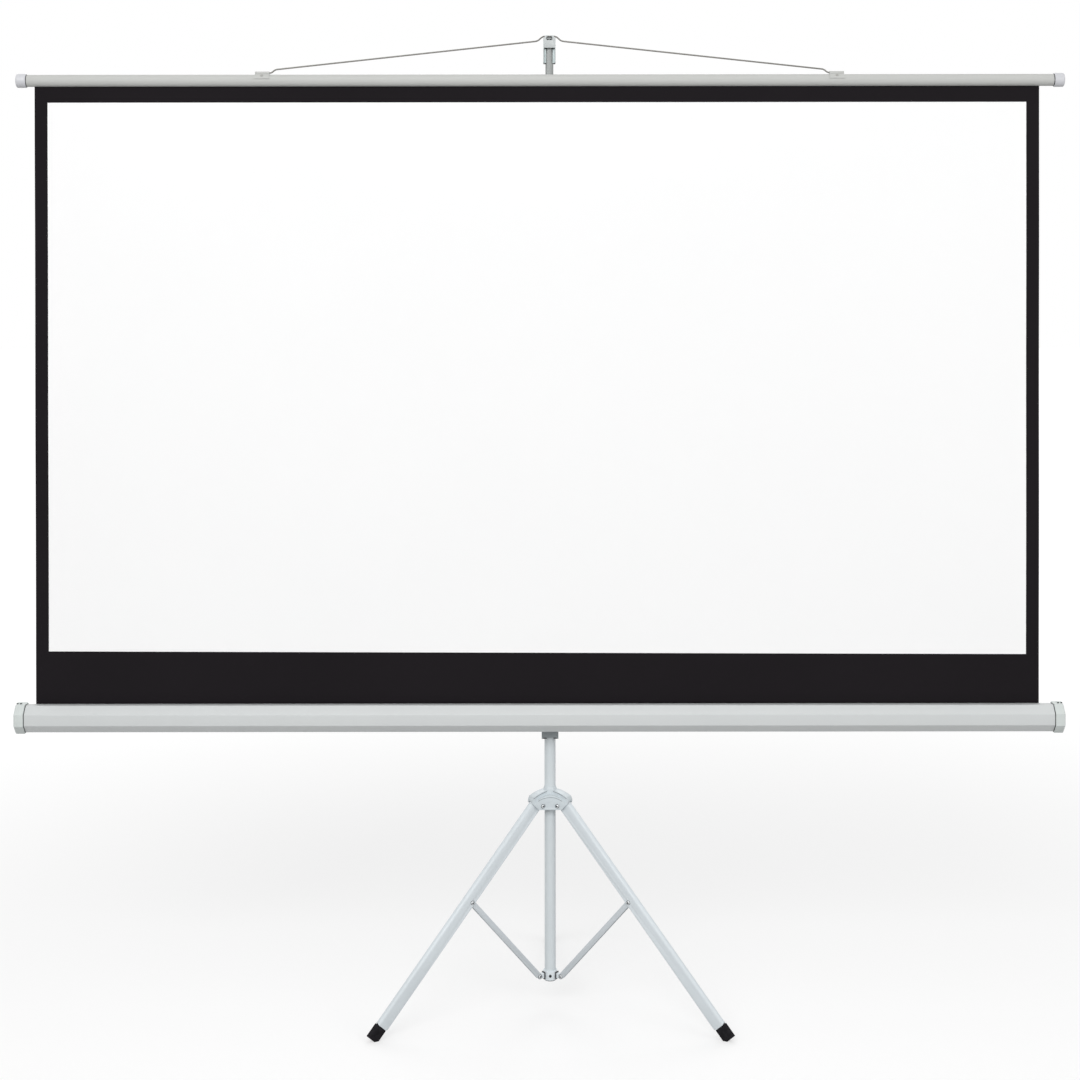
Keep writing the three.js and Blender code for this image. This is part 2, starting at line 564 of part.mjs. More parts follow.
// Bail brackets: strips bent round the tube's front and top, with a curled eye for the wire
function buildBailBrackets(group) {
  const outer = TOP_TUBE_RADIUS + FIT + BRACKET_THICKNESS;
  const inner = TOP_TUBE_RADIUS + FIT;
  const from = Math.PI / 2;
  const to = Math.PI / 2 + radians(BRACKET_DROP_ANGLE);
  for (const [label, side] of [["left", -1], ["right", 1]]) {
    const strip = new THREE.Shape();
    strip.absarc(0, 0, outer, from, to);
    strip.absarc(0, 0, inner, to, from, true);
    const low = -BRACKET_LENGTH / 2;
    const eyeOuter = WIRE_RADIUS + FIT + BRACKET_THICKNESS;
    const eyeRise = bailPivotRise;
    const eye = pinX(eyeOuter, low, -low).translate(0, 0, eyeRise);
    const bore = pinX(WIRE_RADIUS + FIT, low - OVERRUN, -low + OVERRUN).translate(0, 0, eyeRise);
    const tubeRoom = pinX(inner, low - OVERRUN, -low + OVERRUN, TUBE_SIDES);
    const place = (geometry) => geometry.translate(side * BRACKET_FROM_HOOK, sheetY, topTubeHeight);
    const plate = subtract(add(runAlongX(strip, low, -low, 8), eye), bore, tubeRoom, bailScrewHole());
    addPiece(group, `bail_bracket_${label}`, place(plate), "tubeMetal");
    const screw = tiltToScrew(screwAlongY(outer + FIT, TOP_TUBE_WALL + BRACKET_THICKNESS));
    addPiece(group, `bail_screw_${label}`, place(screw), "steel");
  }
}

// Wire bail: pivots in the two brackets and rises to a bent-up middle that lies in the hook.
// It is drawn upright and then leant back. Each half is an end bend, a straight run and half of the crest.
function buildBail(group) {
  const innerEnd = BRACKET_FROM_HOOK - BRACKET_LENGTH / 2;
  const stretch = Math.hypot(BAIL_RISE, BAIL_LEAN_DEPTH) / BAIL_RISE;
  const shoulderX = innerEnd - BAIL_SHOULDER / 2;
  const shoulderZ = BAIL_SHOULDER_RISE * stretch;
  const neckZ = BAIL_NECK_RISE * stretch;
  const slope = (neckZ - shoulderZ) / (shoulderX - BAIL_NECK_HALF);
  const onRun = (x) => [x, shoulderZ + (shoulderX - x) * slope];
  const overlap = OVERRUN / 2;
  const runStart = shoulderX - BAIL_SHOULDER;
  const runEnd = BAIL_NECK_HALF * 2;
  const neckBendShare = 1.4; // where the run starts to bend up, in neck widths
  const bend = [
    [innerEnd + BAIL_END_INSIDE, 0], [innerEnd + overlap, 0], [innerEnd - BAIL_SHOULDER / 6, 0],
    [shoulderX, shoulderZ], onRun(runStart),
  ];
  const rise = [
    onRun(runEnd + overlap), onRun(BAIL_NECK_HALF * neckBendShare), [BAIL_NECK_HALF, neckZ],
    [CLIP_WIDTH / 2 + BAIL_CREST_PAST_CLIP, BAIL_RISE * stretch],
  ];
  const on = (side) => ([x, z]) => new THREE.Vector3(side * x, 0, z);
  const runs = [-1, 1].flatMap((side) => [
    wireRun(new THREE.CatmullRomCurve3(bend.map(on(side)), false, "chordal"), BAIL_BEND_STEPS),
    wireRun(new THREE.LineCurve3(on(side)(onRun(runStart + overlap)), on(side)(onRun(runEnd))), 1),
  ]);
  const crest = [...rise.map(on(-1)), ...rise.map(on(1)).reverse()];
  runs.push(wireRun(new THREE.CatmullRomCurve3(crest, false, "centripetal"), BAIL_CREST_STEPS));
  const [first, ...others] = runs;
  const wire = add(first, ...others);
  wire.rotateX(-Math.atan2(BAIL_LEAN_DEPTH, BAIL_RISE));
  addPiece(group, "wire_bail", wire.translate(0, sheetY, topTubeHeight + bailPivotRise), "steel");
}

function wireRun(curve, steps) {
  const section = new THREE.Shape().absarc(0, 0, WIRE_RADIUS, 0, Math.PI * 2);
  const settings = { steps, extrudePath: curve, curveSegments: 4, bevelEnabled: false };
  return new THREE.ExtrudeGeometry(section, settings);
}

// Case: an octagonal tube with a long slot in its top facet
function buildCase(group) {
  const half = caseSpan / 2;
  const place = (geometry) => geometry.translate(caseX, caseY, caseHeight);
  const slotMiddle = SHEET_BEHIND_CASE;
  const outer = runAlongX(shapeOf(octagonPoints(CASE_ACROSS)), -half, half);
  const innerOutline = shapeOf(octagonPoints(CASE_ACROSS - 2 * CASE_WALL));
  const inner = runAlongX(innerOutline, -half - OVERRUN, half + OVERRUN);
  const slot = boxBetween(
    [-half - OVERRUN, slotMiddle - SLOT_WIDTH / 2, 0],
    [half + OVERRUN, slotMiddle + SLOT_WIDTH / 2, CASE_ACROSS],
  );
  const boltHole = pinY(BOLT_RADIUS + FIT, 0, CASE_ACROSS).translate(CASE_LEFT_OF_MAST, 0, 0);
  addPiece(group, "case_housing", place(subtract(outer, inner, slot, boltHole)), "caseSkin");
  for (const [label, side] of [["left", -1], ["right", 1]]) {
    const bearing = side < 0 ? IDLER_PIN_RADIUS : ARBOR_RADIUS;
    const cap = caseCap(bearing);
    if (side < 0) {
      cap.scale(-1, 1, 1);
      flipFaces(cap);
    }
    addPiece(group, `case_end_cap_${label}`, place(cap.translate(side * half, 0, 0)), "endPlastic");
  }
}

// Mirroring a mesh turns its faces inside out, so their order is turned back
function flipFaces(geometry) {
  const { array } = geometry.index;
  for (let i = 0; i < array.length; i += 3) [array[i], array[i + 2]] = [array[i + 2], array[i]];
}

// A moulded end cap: bevelled octagonal rim outside, eight-sided spigot inside, socket for the roller's pin
function caseCap(bearingRadius) {
  const rim = bevelledOctagon(CAP_ACROSS, CAP_BEVEL, FIT, CAP_LENGTH);
  const spigotAcross = CASE_ACROSS - 2 * CASE_WALL - 2 * FIT;
  const spigot = runAlongX(shapeOf(octagonPoints(spigotAcross)), -CAP_SPIGOT_LENGTH, FIT + OVERRUN);
  const hollowOutline = shapeOf(octagonPoints(spigotAcross - 2 * CAP_WALL));
  const hollowEnd = CAP_LENGTH / 2 - CAP_WALL;
  const hollow = runAlongX(hollowOutline, -CAP_SPIGOT_LENGTH - OVERRUN, hollowEnd);
  const bossRadius = bearingRadius + CAP_BOSS_WALL;
  const boss = pinX(bossRadius, -CAP_SPIGOT_LENGTH / 2, CAP_LENGTH / 2 + OVERRUN);
  const socket = pinX(bearingRadius + FIT, -CAP_SPIGOT_LENGTH, CAP_LENGTH / 2);
  const slotMiddle = SHEET_BEHIND_CASE;
  const sheetRoom = boxBetween(
    [-CAP_SPIGOT_LENGTH - OVERRUN, slotMiddle - SLOT_WIDTH / 2, 0],
    [0, slotMiddle + SLOT_WIDTH / 2, CASE_ACROSS],
  );
  return subtract(add(subtract(add(rim, spigot), hollow), boss), socket, sheetRoom);
}

// An octagonal slab along X whose outer edge is bevelled
function bevelledOctagon(across, bevel, low, high) {
  const outer = octagonPoints(across);
  const inner = octagonPoints(across - 2 * bevel);
  const ringAt = (x, points) => points.map((point) => [x, ...point]);
  const rings = [ringAt(low, outer), ringAt(high - bevel, outer), ringAt(high, inner)];
  const positions = [...rings.flat(), [low, 0, 0], [high, 0, 0]];
  const count = outer.length;
  const faces = [];
  for (let i = 0; i < count; i += 1) {
    const next = (i + 1) % count;
    for (let ring = 0; ring < 2; ring += 1) {
      const [a, b] = [ring * count + i, ring * count + next];
      faces.push([a, b, b + count], [a, b + count, a + count]);
    }
    faces.push([positions.length - 2, next, i], [positions.length - 1, 2 * count + i, 2 * count + next]);
  }
  const geometry = new THREE.BufferGeometry();
  geometry.setAttribute("position", new THREE.Float32BufferAttribute(positions.flat(), 3));
  geometry.setIndex(faces.flat().map(Number));
  return geometry;
}

// Roller: a thin tube with end plugs and the last turns of the sheet still wound on it
function buildRoller(group) {
  const place = (geometry) => geometry.translate(caseX, caseY, caseHeight);
  const bore = ROLLER_RADIUS - ROLLER_WALL;
  const tube = subtract(
    pinX(ROLLER_RADIUS, -rollerHalf, rollerHalf, TUBE_SIDES),
    pinX(bore, -rollerHalf - OVERRUN, rollerHalf + OVERRUN, TUBE_SIDES),
  );
  addPiece(group, "roller_tube", place(tube), "steel");
  const wound = subtract(
    pinX(WOUND_RADIUS, -SHEET_WIDTH / 2, SHEET_WIDTH / 2, TUBE_SIDES),
    pinX(ROLLER_RADIUS + FIT, -SHEET_WIDTH / 2 - OVERRUN, SHEET_WIDTH / 2 + OVERRUN, TUBE_SIDES),
  );
  addPiece(group, "wound_sheet", place(wound.translate(-SHEET_LEFT_OF_CASE, 0, 0)), "sheet");
  const plugFlange = ROLLER_WALL * 2;
  const plugBody = () => add(
    pinX(bore - FIT, rollerHalf - ROLLER_PLUG_LENGTH, rollerHalf + FIT, TUBE_SIDES),
    pinX(ROLLER_RADIUS, rollerHalf + FIT, rollerHalf + FIT + plugFlange, TUBE_SIDES),
  );
  const plugRight = subtract(plugBody(), pinX(ARBOR_RADIUS + FIT, 0, caseSpan));
  addPiece(group, "roller_spring_plug", place(plugRight), "blackPlastic");
  const pinReach = caseSpan / 2 + CAP_LENGTH / 2 - FIT;
  const plugLeft = add(plugBody(), pinX(IDLER_PIN_RADIUS, rollerHalf, pinReach)).rotateZ(Math.PI);
  addPiece(group, "roller_idler_plug", place(plugLeft), "blackPlastic");
}

// The fixed arbor and the coil spring round it, which wind the sheet back in
function buildRollerSpring(group) {
  const place = (geometry) => geometry.translate(caseX, caseY, caseHeight);
  const end = caseSpan / 2 + CAP_LENGTH / 2 - FIT;
  const collar = pinX(SPRING_RADIUS, end - ARBOR_LENGTH, end - ARBOR_LENGTH + ROLLER_PLUG_LENGTH);
  addPiece(group, "spring_arbor", place(add(pinX(ARBOR_RADIUS, end - ARBOR_LENGTH, end), collar)), "steel");
  const start = end - ARBOR_LENGTH + ROLLER_PLUG_LENGTH + SPRING_WIRE / 2 + FIT;
  addPiece(group, "roller_spring", place(coilAlongX(start, SPRING_LENGTH)), "steel");
}

// One unbroken helix of round wire along X, built ring by ring
function coilAlongX(start, length) {
  const steps = SPRING_TURNS * SPRING_STEPS_PER_TURN;
  const positions = [];
  for (let step = 0; step <= steps; step += 1) {
    const angle = (step / SPRING_STEPS_PER_TURN) * Math.PI * 2;
    for (let side = 0; side < SPRING_SIDES; side += 1) {
      const around = (side / SPRING_SIDES) * Math.PI * 2;
      const reach = SPRING_RADIUS + (SPRING_WIRE / 2) * Math.cos(around);
      const along = start + (step / steps) * length + (SPRING_WIRE / 2) * Math.sin(around);
      positions.push(along, reach * Math.cos(angle), reach * Math.sin(angle));
    }
  }
  return ringsToGeometry(positions, steps, SPRING_SIDES);
}

// Joins rings of points into a closed tube with fan ends
function ringsToGeometry(positions, steps, sides) {
  const faces = [];
  for (let step = 0; step < steps; step += 1) {
    for (let side = 0; side < sides; side += 1) {
      const [a, b] = [step * sides + side, step * sides + ((side + 1) % sides)];
      faces.push(a, b + sides, b, a, a + sides, b + sides);
    }
  }
  const last = steps * sides;
  for (let side = 1; side < sides - 1; side += 1) {
    faces.push(0, side, side + 1, last, last + side + 1, last + side);
  }
  const geometry = new THREE.BufferGeometry();
  geometry.setAttribute("position", new THREE.Float32BufferAttribute(positions, 3));
  geometry.setIndex(faces);
  return geometry;
}

// The sheet between the roll and the top tube
function buildSheet(group) {
  const offset = SHEET_BEHIND_CASE;
  const low = caseHeight + Math.sqrt(WOUND_RADIUS ** 2 - offset ** 2) + 2 * FIT;
  const high = topTubeHeight - TOP_TUBE_RADIUS / 2;
  const sheet = boxBetween(
    [-SHEET_WIDTH / 2, -SHEET_THICKNESS / 2, low], [SHEET_WIDTH / 2, SHEET_THICKNESS / 2, high],
  );
  addPiece(group, "screen_sheet", sheet.translate(sheetX, sheetY, 0), "sheet");
}

// Carriage: a folded channel round the mast with a moulded slide block inside, and the pivot that
// carries the case
function buildCarriage(group) {
  const half = CARRIAGE_WIDTH / 2;
  const box = boxBetween([-half, carriageFront, carriageBottom], [half, carriageBack, carriageTop]);
  const hollow = boxBetween(
    [-half + CARRIAGE_WALL, carriageFront + CARRIAGE_WALL, carriageBottom - OVERRUN],
    [half - CARRIAGE_WALL, carriageBack + OVERRUN, carriageTop + OVERRUN],
  );
  const frontCut = boxBetween(
    [-half + CARRIAGE_WALL, carriageFront - OVERRUN, carriageBottom - OVERRUN],
    [half - CARRIAGE_WALL, carriageFront + CARRIAGE_WALL + OVERRUN, carriageBottom + CARRIAGE_FRONT_CUT],
  );
  const boltHole = pinY(BOLT_RADIUS + FIT, carriageFront - OVERRUN, 0).translate(0, 0, caseHeight);
  const pinHole = pinX(LOCK_PIN_RADIUS + FIT, -half - OVERRUN, half + OVERRUN)
    .translate(0, leverPinY, leverPinHeight);
  addPiece(group, "carriage_bracket", subtract(box, hollow, frontCut, boltHole, pinHole), "darkPaint");
  addPiece(group, "carriage_slide_block", slideBlock(), "blackPlastic");
  addPiece(group, "lock_lever_pin", leverPin(half), "steel");
  buildCasePivot(group);
}

// The block that slides on the mast, held in the channel above its open skirt
function slideBlock() {
  const half = CARRIAGE_WIDTH / 2 - CARRIAGE_WALL - FIT;
  const low = carriageBottom + CARRIAGE_SKIRT;
  const high = carriageTop - LOCK_LEVER_WIDTH;
  const block = boxBetween([-half, carriageFront + CARRIAGE_WALL + FIT, low], [half, MAST_RADIUS, high]);
  const bore = pinZ(MAST_RADIUS + FIT, low - OVERRUN, high + OVERRUN, TUBE_SIDES);
  const nutPocket = pinY(NUT_RADIUS + FIT, carriageFront, 0).translate(0, 0, caseHeight);
  return subtract(block, bore, nutPocket);
}

function leverPin(half) {
  const reach = half + LOCK_PIN_RADIUS / 2;
  return pinX(LOCK_PIN_RADIUS, -reach, reach).translate(0, leverPinY, leverPinHeight);
}

// The pivot between carriage and case: disc, saddle on the case's back, bolt and nut
function buildCasePivot(group) {
  const place = (geometry) => geometry.translate(0, 0, caseHeight);
  const discFront = carriageFront - FIT - PIVOT_PLATE_THICKNESS;
  const hole = pinY(BOLT_RADIUS + FIT, caseY, 0);
  const disc = subtract(pinY(PIVOT_PLATE_RADIUS, discFront, carriageFront - FIT, TUBE_SIDES), hole);
  addPiece(group, "pivot_disc", place(disc), "blackPlastic");
  const saddleFace = caseBack + FIT;
  const corner = SADDLE_HEIGHT / 4;
  const outline = roundedRect(SADDLE_WIDTH, SADDLE_HEIGHT, corner, -CASE_LEFT_OF_MAST / 2);
  const saddle = runAlongY(outline, saddleFace, saddleFace + SADDLE_THICKNESS, 3);
  addPiece(group, "case_saddle", place(subtract(saddle, hole)), "darkPaint");
  const nutFace = carriageFront + CARRIAGE_WALL + FIT;
  const nutEnd = nutFace + NUT_THICKNESS;
  const headFace = caseBack - CASE_WALL - FIT;
  const bolt = add(
    pinY(BOLT_RADIUS, headFace, nutEnd),
    pinY(BOLT_HEAD_RADIUS, headFace - CASE_WALL, headFace),
  );
  addPiece(group, "case_pivot_bolt", place(bolt), "steel");
  const nut = subtract(pinY(NUT_RADIUS, nutFace, nutEnd, 6), pinY(BOLT_RADIUS + FIT, caseY, 0));
  addPiece(group, "case_pivot_nut", place(nut), "steel");
}

// The lever behind the carriage, on its pin: its eye bears on the mast and its grip flares away from it
function buildLockLever(group) {
  const half = CARRIAGE_WIDTH / 2 - CARRIAGE_WALL - 2 * FIT;
  const kneeShare = 0.6; // how far up the grip it starts to flare
  const flareShare = 1.5; // how far the tip flares, in thicknesses
  const eye = pinX(2 * LOCK_PIN_RADIUS, -half, half).translate(0, leverPinY, leverPinHeight);
  const [knee, tip] = [leverPinHeight + LOCK_LEVER_LENGTH * kneeShare, leverPinHeight + LOCK_LEVER_LENGTH];
  const flare = leverPinY + LOCK_LEVER_THICKNESS * flareShare;
  const side = shapeOf([
    [leverPinY, leverPinHeight], [leverPinY + LOCK_LEVER_THICKNESS, leverPinHeight],
    [leverPinY + LOCK_LEVER_THICKNESS, knee], [flare + LOCK_LEVER_THICKNESS, tip],
    [flare, tip], [leverPinY, knee],
  ]);
  const grip = runAlongX(side, -LOCK_LEVER_WIDTH / 2, LOCK_LEVER_WIDTH / 2);
  const bore = pinX(LOCK_PIN_RADIUS + FIT, -CARRIAGE_WIDTH, CARRIAGE_WIDTH)
    .translate(0, leverPinY, leverPinHeight);
  addPiece(group, "carriage_lock_lever", subtract(add(eye, grip), bore), "blackPlastic");
}

// Hub: a sleeve on the mast with three roofed lobes, one over each leg's top
function hubBody() {
  const cheekInner = LEG_THICKNESS / 2 + FIT;
  const cheekOuter = cheekInner + HUB_CHEEK_WALL;
  const sleeveOuter = MAST_RADIUS + FIT + HUB_SLEEVE_WALL;
  const directions = Object.values(LEG_DIRECTIONS).map(radians);
  const lobe = () => runAlongY(lobeOutline(), -cheekOuter, cheekOuter, HUB_CURVE_STEPS);
  const lobes = directions.map((turn) => lobe().rotateZ(turn));
  const webs = directions.map((turn) => hubWeb().rotateZ(turn));
  const rooms = directions.map((turn) => {
    const room = runAlongY(lobeRoomOutline(), -cheekInner, cheekInner, HUB_CURVE_STEPS);
    const keep = pinZ(sleeveOuter, -CUTTER_REACH, CUTTER_REACH, TUBE_SIDES);
    return add(subtract(room, keep.rotateZ(-turn)), rivetRoom()).rotateZ(turn);
  });
  const bore = pinZ(MAST_RADIUS + FIT, -CUTTER_REACH, CUTTER_REACH, TUBE_SIDES);
  return subtract(add(hubNeck(sleeveOuter), ...lobes, ...webs), ...rooms, bore);
}

// The hole for a leg's rivet, wider past the seats so that both heads lie in the plates
function rivetRoom() {
  const hole = pinY(RIVET_RADIUS + FIT, -CUTTER_REACH, CUTTER_REACH);
  const seatRoom = (low, high) => pinY(RIVET_HEAD_RADIUS + 2 * FIT, low, high);
  const seats = [seatRoom(HUB_RIVET_SEAT, CUTTER_REACH), seatRoom(-CUTTER_REACH, -HUB_RIVET_SEAT)];
  return add(hole, ...seats).translate(PIVOT_FROM_AXIS, 0, 0);
}

// A wedge that fills the gap opposite a lobe, with a flat arched face towards the outside
function hubWeb() {
  const arch = new THREE.Shape();
  arch.moveTo(-HUB_WEB_HALF, -HUB_BOTTOM_DROP);
  arch.lineTo(HUB_WEB_HALF, -HUB_BOTTOM_DROP);
  arch.lineTo(HUB_WEB_HALF, HUB_WEB_SIDE_RISE);
  const bulge = HUB_WEB_HALF * HUB_WEB_ARCH_SHARE;
  arch.quadraticCurveTo(bulge, HUB_WEB_RISE, 0, HUB_WEB_RISE);
  arch.quadraticCurveTo(-bulge, HUB_WEB_RISE, -HUB_WEB_HALF, HUB_WEB_SIDE_RISE);
  const apex = [0, -MAST_RADIUS / 2];
  const plan = shapeOf([[-HUB_WEB_HALF, -HUB_WEB_FRONT], [HUB_WEB_HALF, -HUB_WEB_FRONT], apex]);
  const wedge = raise(plan, -CUTTER_REACH, CUTTER_REACH);
  const face = runAlongY(arch, -HUB_WEB_FRONT - OVERRUN, 0, HUB_CURVE_STEPS);
  return intersect(wedge, face).rotateZ(-Math.PI / 2);
}

// The sleeve's outside, a little wider at the shoulder and rounded in at the top
function hubNeck(radius) {
  const shoulder = radius + HUB_NECK_FLARE;
  const top = radius - HUB_NECK_ROUND;
  const halfRound = HUB_NECK_ROUND / 2;
  return lathe([
    [0, -HUB_BOTTOM_DROP], [radius, -HUB_BOTTOM_DROP], [radius, HUB_SHOULDER_RISE - HUB_NECK_RISE / 4],
    [shoulder, HUB_SHOULDER_RISE], [top, HUB_NECK_RISE - halfRound], [top - halfRound, HUB_NECK_RISE],
    [0, HUB_NECK_RISE],
  ], TUBE_SIDES);
}

// The lobe seen from beside the leg: arched roof, rounded tip and a slanting lower edge
function lobeOutline() {
  const shape = new THREE.Shape();
  shape.moveTo(0, -HUB_BOTTOM_DROP);
  shape.lineTo(HUB_TIP_REACH * HUB_LOWER_SHARE, -HUB_BOTTOM_DROP);
  shape.lineTo(HUB_TIP_REACH - HUB_TIP_ROUND / 2, HUB_TIP_RISE - HUB_TIP_ROUND * 2);
  return closeRoof(shape, 0);
}

// The room under the roof, open below and outwards under the tip
function lobeRoomOutline() {
  const shape = new THREE.Shape();
  const tipX = HUB_TIP_REACH - HUB_ROOF_WALL;
  const lipZ = HUB_TIP_RISE - HUB_TIP_ROUND;
  shape.moveTo(0, -CUTTER_REACH);
  shape.lineTo(CUTTER_REACH * 2, -CUTTER_REACH);
  shape.lineTo(CUTTER_REACH * 2, lipZ);
  shape.lineTo(tipX, lipZ);
  return closeRoof(shape, HUB_ROOF_WALL);
}

// Carries a lobe's outline round its tip and back over the arched roof to the mast
function closeRoof(shape, wall) {
  const tipX = HUB_TIP_REACH - wall;
  const top = HUB_SHOULDER_RISE - wall;
  shape.quadraticCurveTo(tipX, HUB_TIP_RISE, tipX - HUB_TIP_ROUND, HUB_TIP_RISE + HUB_TIP_ROUND);
  shape.quadraticCurveTo(HUB_TIP_REACH * HUB_ARCH_SHARE, top - HUB_TIP_ROUND / 2, MAST_RADIUS, top);
  shape.lineTo(0, top);
  return shape;
}

function buildHub(group) {
  addPiece(group, "leg_hub", hubBody().translate(0, 0, hubPivotHeight), "paint");
  const grip = 2 * (HUB_RIVET_SEAT + FIT);
  for (const [label, direction] of Object.entries(LEG_DIRECTIONS)) {
    const pin = rivet(grip).translate(PIVOT_FROM_AXIS, 0, hubPivotHeight).rotateZ(radians(direction));
    addPiece(group, `hub_rivet_${label}`, pin, "steel");
  }
}

// Leg section: a channel with a half-round back
function legSection(margin) {
  const half = LEG_THICKNESS / 2 - margin;
  const middle = LEG_DEPTH - LEG_INNER_EDGE - LEG_THICKNESS / 2;
  const shape = new THREE.Shape();
  shape.moveTo(-LEG_INNER_EDGE - (margin > 0 ? OVERRUN : 0), -half);
  shape.lineTo(middle, -half);
  shape.absarc(middle, 0, half, -Math.PI / 2, Math.PI / 2);
  shape.lineTo(-LEG_INNER_EDGE - (margin > 0 ? OVERRUN : 0), half);
  return shape;
}

// The cutter for a rivet's hole through a leg or a brace
const rivetHole = (height) =>
  pinY(RIVET_RADIUS + FIT, -LEG_THICKNESS, LEG_THICKNESS).translate(0, 0, height);

// The leg hangs along -Z from its hub pivot at zero, open edge towards -X
function legGeometry() {
  const outer = raise(legSection(0), -legBelowPivot, LEG_ABOVE_PIVOT, 5);
  const inner = raise(legSection(LEG_WALL), -legBelowPivot - OVERRUN, LEG_ABOVE_PIVOT + OVERRUN, 5);
  const length = legBelowPivot + LEG_ABOVE_PIVOT;
  const middleX = LEG_DEPTH / 2 - LEG_INNER_EDGE;
  const sideView = roundedRect(LEG_DEPTH, length, LEG_CORNER, middleX, LEG_ABOVE_PIVOT - length / 2);
  const ends = runAlongY(sideView, -LEG_THICKNESS, LEG_THICKNESS, 3);
  return subtract(intersect(outer, ends), inner, rivetHole(0), rivetHole(-LINK_LENGTH));
}

// The brace runs up +Z from its collar pivot at zero; its web faces the mast, towards -X
function braceGeometry() {
  const halfDepth = BRACE_DEPTH / 2;
  const high = LINK_LENGTH;
  const side = new THREE.Shape();
  side.moveTo(-halfDepth, 0);
  side.absarc(0, 0, halfDepth, Math.PI, Math.PI * 2);
  side.lineTo(halfDepth, high);
  side.absarc(0, high, halfDepth, 0, Math.PI);
  const body = runAlongY(side, -braceOuter, braceOuter, 4);
  const hollow = boxBetween(
    [-halfDepth + BRACE_WALL, -braceInner, -BRACE_DEPTH], [BRACE_DEPTH, braceInner, high + BRACE_DEPTH],
  );
  const webCut = boxBetween([-BRACE_DEPTH, -braceInner, -BRACE_DEPTH], [0, braceInner, BRACE_WEB_START]);
  const topCut = boxBetween(
    [-BRACE_DEPTH, -braceInner, high - halfDepth], [0, braceInner, high + BRACE_DEPTH],
  );
  return subtract(body, hollow, webCut, topCut, rivetHole(0), rivetHole(high));
}

// Rubber foot in the leg's own frame, plugged into its end and cut where it meets the floor
function footGeometry() {
  const low = -legReach;
  const outer = LEG_DEPTH - LEG_INNER_EDGE;
  const body = raise(footSection(), low, -legBelowPivot - FIT, 5);
  const spigotHalf = LEG_THICKNESS / 2 - LEG_WALL - FIT;
  const spigotOutline = new THREE.Shape();
  spigotOutline.moveTo(-footInner, -spigotHalf);
  spigotOutline.lineTo(outer - LEG_THICKNESS / 2, -spigotHalf);
  spigotOutline.absarc(outer - LEG_THICKNESS / 2, 0, spigotHalf, -Math.PI / 2, Math.PI / 2);
  spigotOutline.lineTo(-footInner, spigotHalf);
  const spigotLow = -legBelowPivot - FOOT_BELOW_LEG / 2;
  return add(body, raise(spigotOutline, spigotLow, -legBelowPivot + FOOT_SPIGOT, 4));
}

function footSection() {
  const half = LEG_THICKNESS / 2;
  const outer = LEG_DEPTH - LEG_INNER_EDGE + FOOT_OUTWARD;
  const shape = new THREE.Shape();
  shape.moveTo(-footInner, -half);
  shape.lineTo(outer - half, -half);
  shape.absarc(outer - half, 0, half, -Math.PI / 2, Math.PI / 2);
  shape.lineTo(-footInner, half);
  return shape;
}

// Leans a piece drawn in the leg's frame outwards and sets it at the hub pivot
const leanOut = (geometry) =>
  geometry.rotateY(-radians(LEG_ANGLE)).translate(PIVOT_FROM_AXIS, 0, hubPivotHeight);

function buildTripod(group) {
  const below = [-MAST_TOP_HEIGHT, -MAST_TOP_HEIGHT, -MAST_TOP_HEIGHT];
  const floor = boxBetween(below, [MAST_TOP_HEIGHT, MAST_TOP_HEIGHT, 0]);
  for (const [label, direction] of Object.entries(LEG_DIRECTIONS)) {
    const turn = (geometry) => geometry.rotateZ(radians(direction));
    addPiece(group, `leg_${label}`, turn(leanOut(legGeometry())), "paint");
    addPiece(group, `foot_${label}`, turn(subtract(leanOut(footGeometry()), floor)), "rubber");
    const brace = braceGeometry().rotateY(radians(LEG_ANGLE))
      .translate(PIVOT_FROM_AXIS, 0, COLLAR_PIVOT_HEIGHT);
    addPiece(group, `brace_${label}`, turn(brace), "paint");
    const upperX = PIVOT_FROM_AXIS + LINK_LENGTH * openSin;
    const upperZ = COLLAR_PIVOT_HEIGHT + LINK_LENGTH * openCos;
    const upper = rivet(LEG_THICKNESS + 2 * FIT).translate(upperX, 0, upperZ);
    addPiece(group, `leg_rivet_${label}`, turn(upper), "steel");
    const lower = rivet(2 * (braceOuter + FIT)).translate(PIVOT_FROM_AXIS, 0, COLLAR_PIVOT_HEIGHT);
    addPiece(group, `collar_rivet_${label}`, turn(lower), "steel");
  }
}

buildMast(root);
buildRodLock(root);
buildRod(root);
buildHookClip(root);
buildTopTube(root);
buildBailBrackets(root);
buildBail(root);
buildCase(root);
buildRoller(root);
buildRollerSpring(root);
buildSheet(root);
buildCarriage(root);
buildLockLever(root);
buildHub(root);
buildTripod(root);

const footprint = new THREE.Box3().setFromObject(root, true);
const middle = footprint.getCenter(new THREE.Vector3());
root.position.set(-middle.x, -middle.y, -footprint.min.z);

export default root;
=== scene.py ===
"""Tripod projector screen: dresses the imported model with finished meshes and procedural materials.

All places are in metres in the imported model's own frame: +Z up, the viewer on the -Y side.
"""

import logging
import math
from abc import ABC, abstractmethod
from dataclasses import dataclass, field
from enum import Enum
from typing import Callable, ClassVar, Iterable, Sequence

import bmesh
import bpy
from mathutils import Matrix, Vector


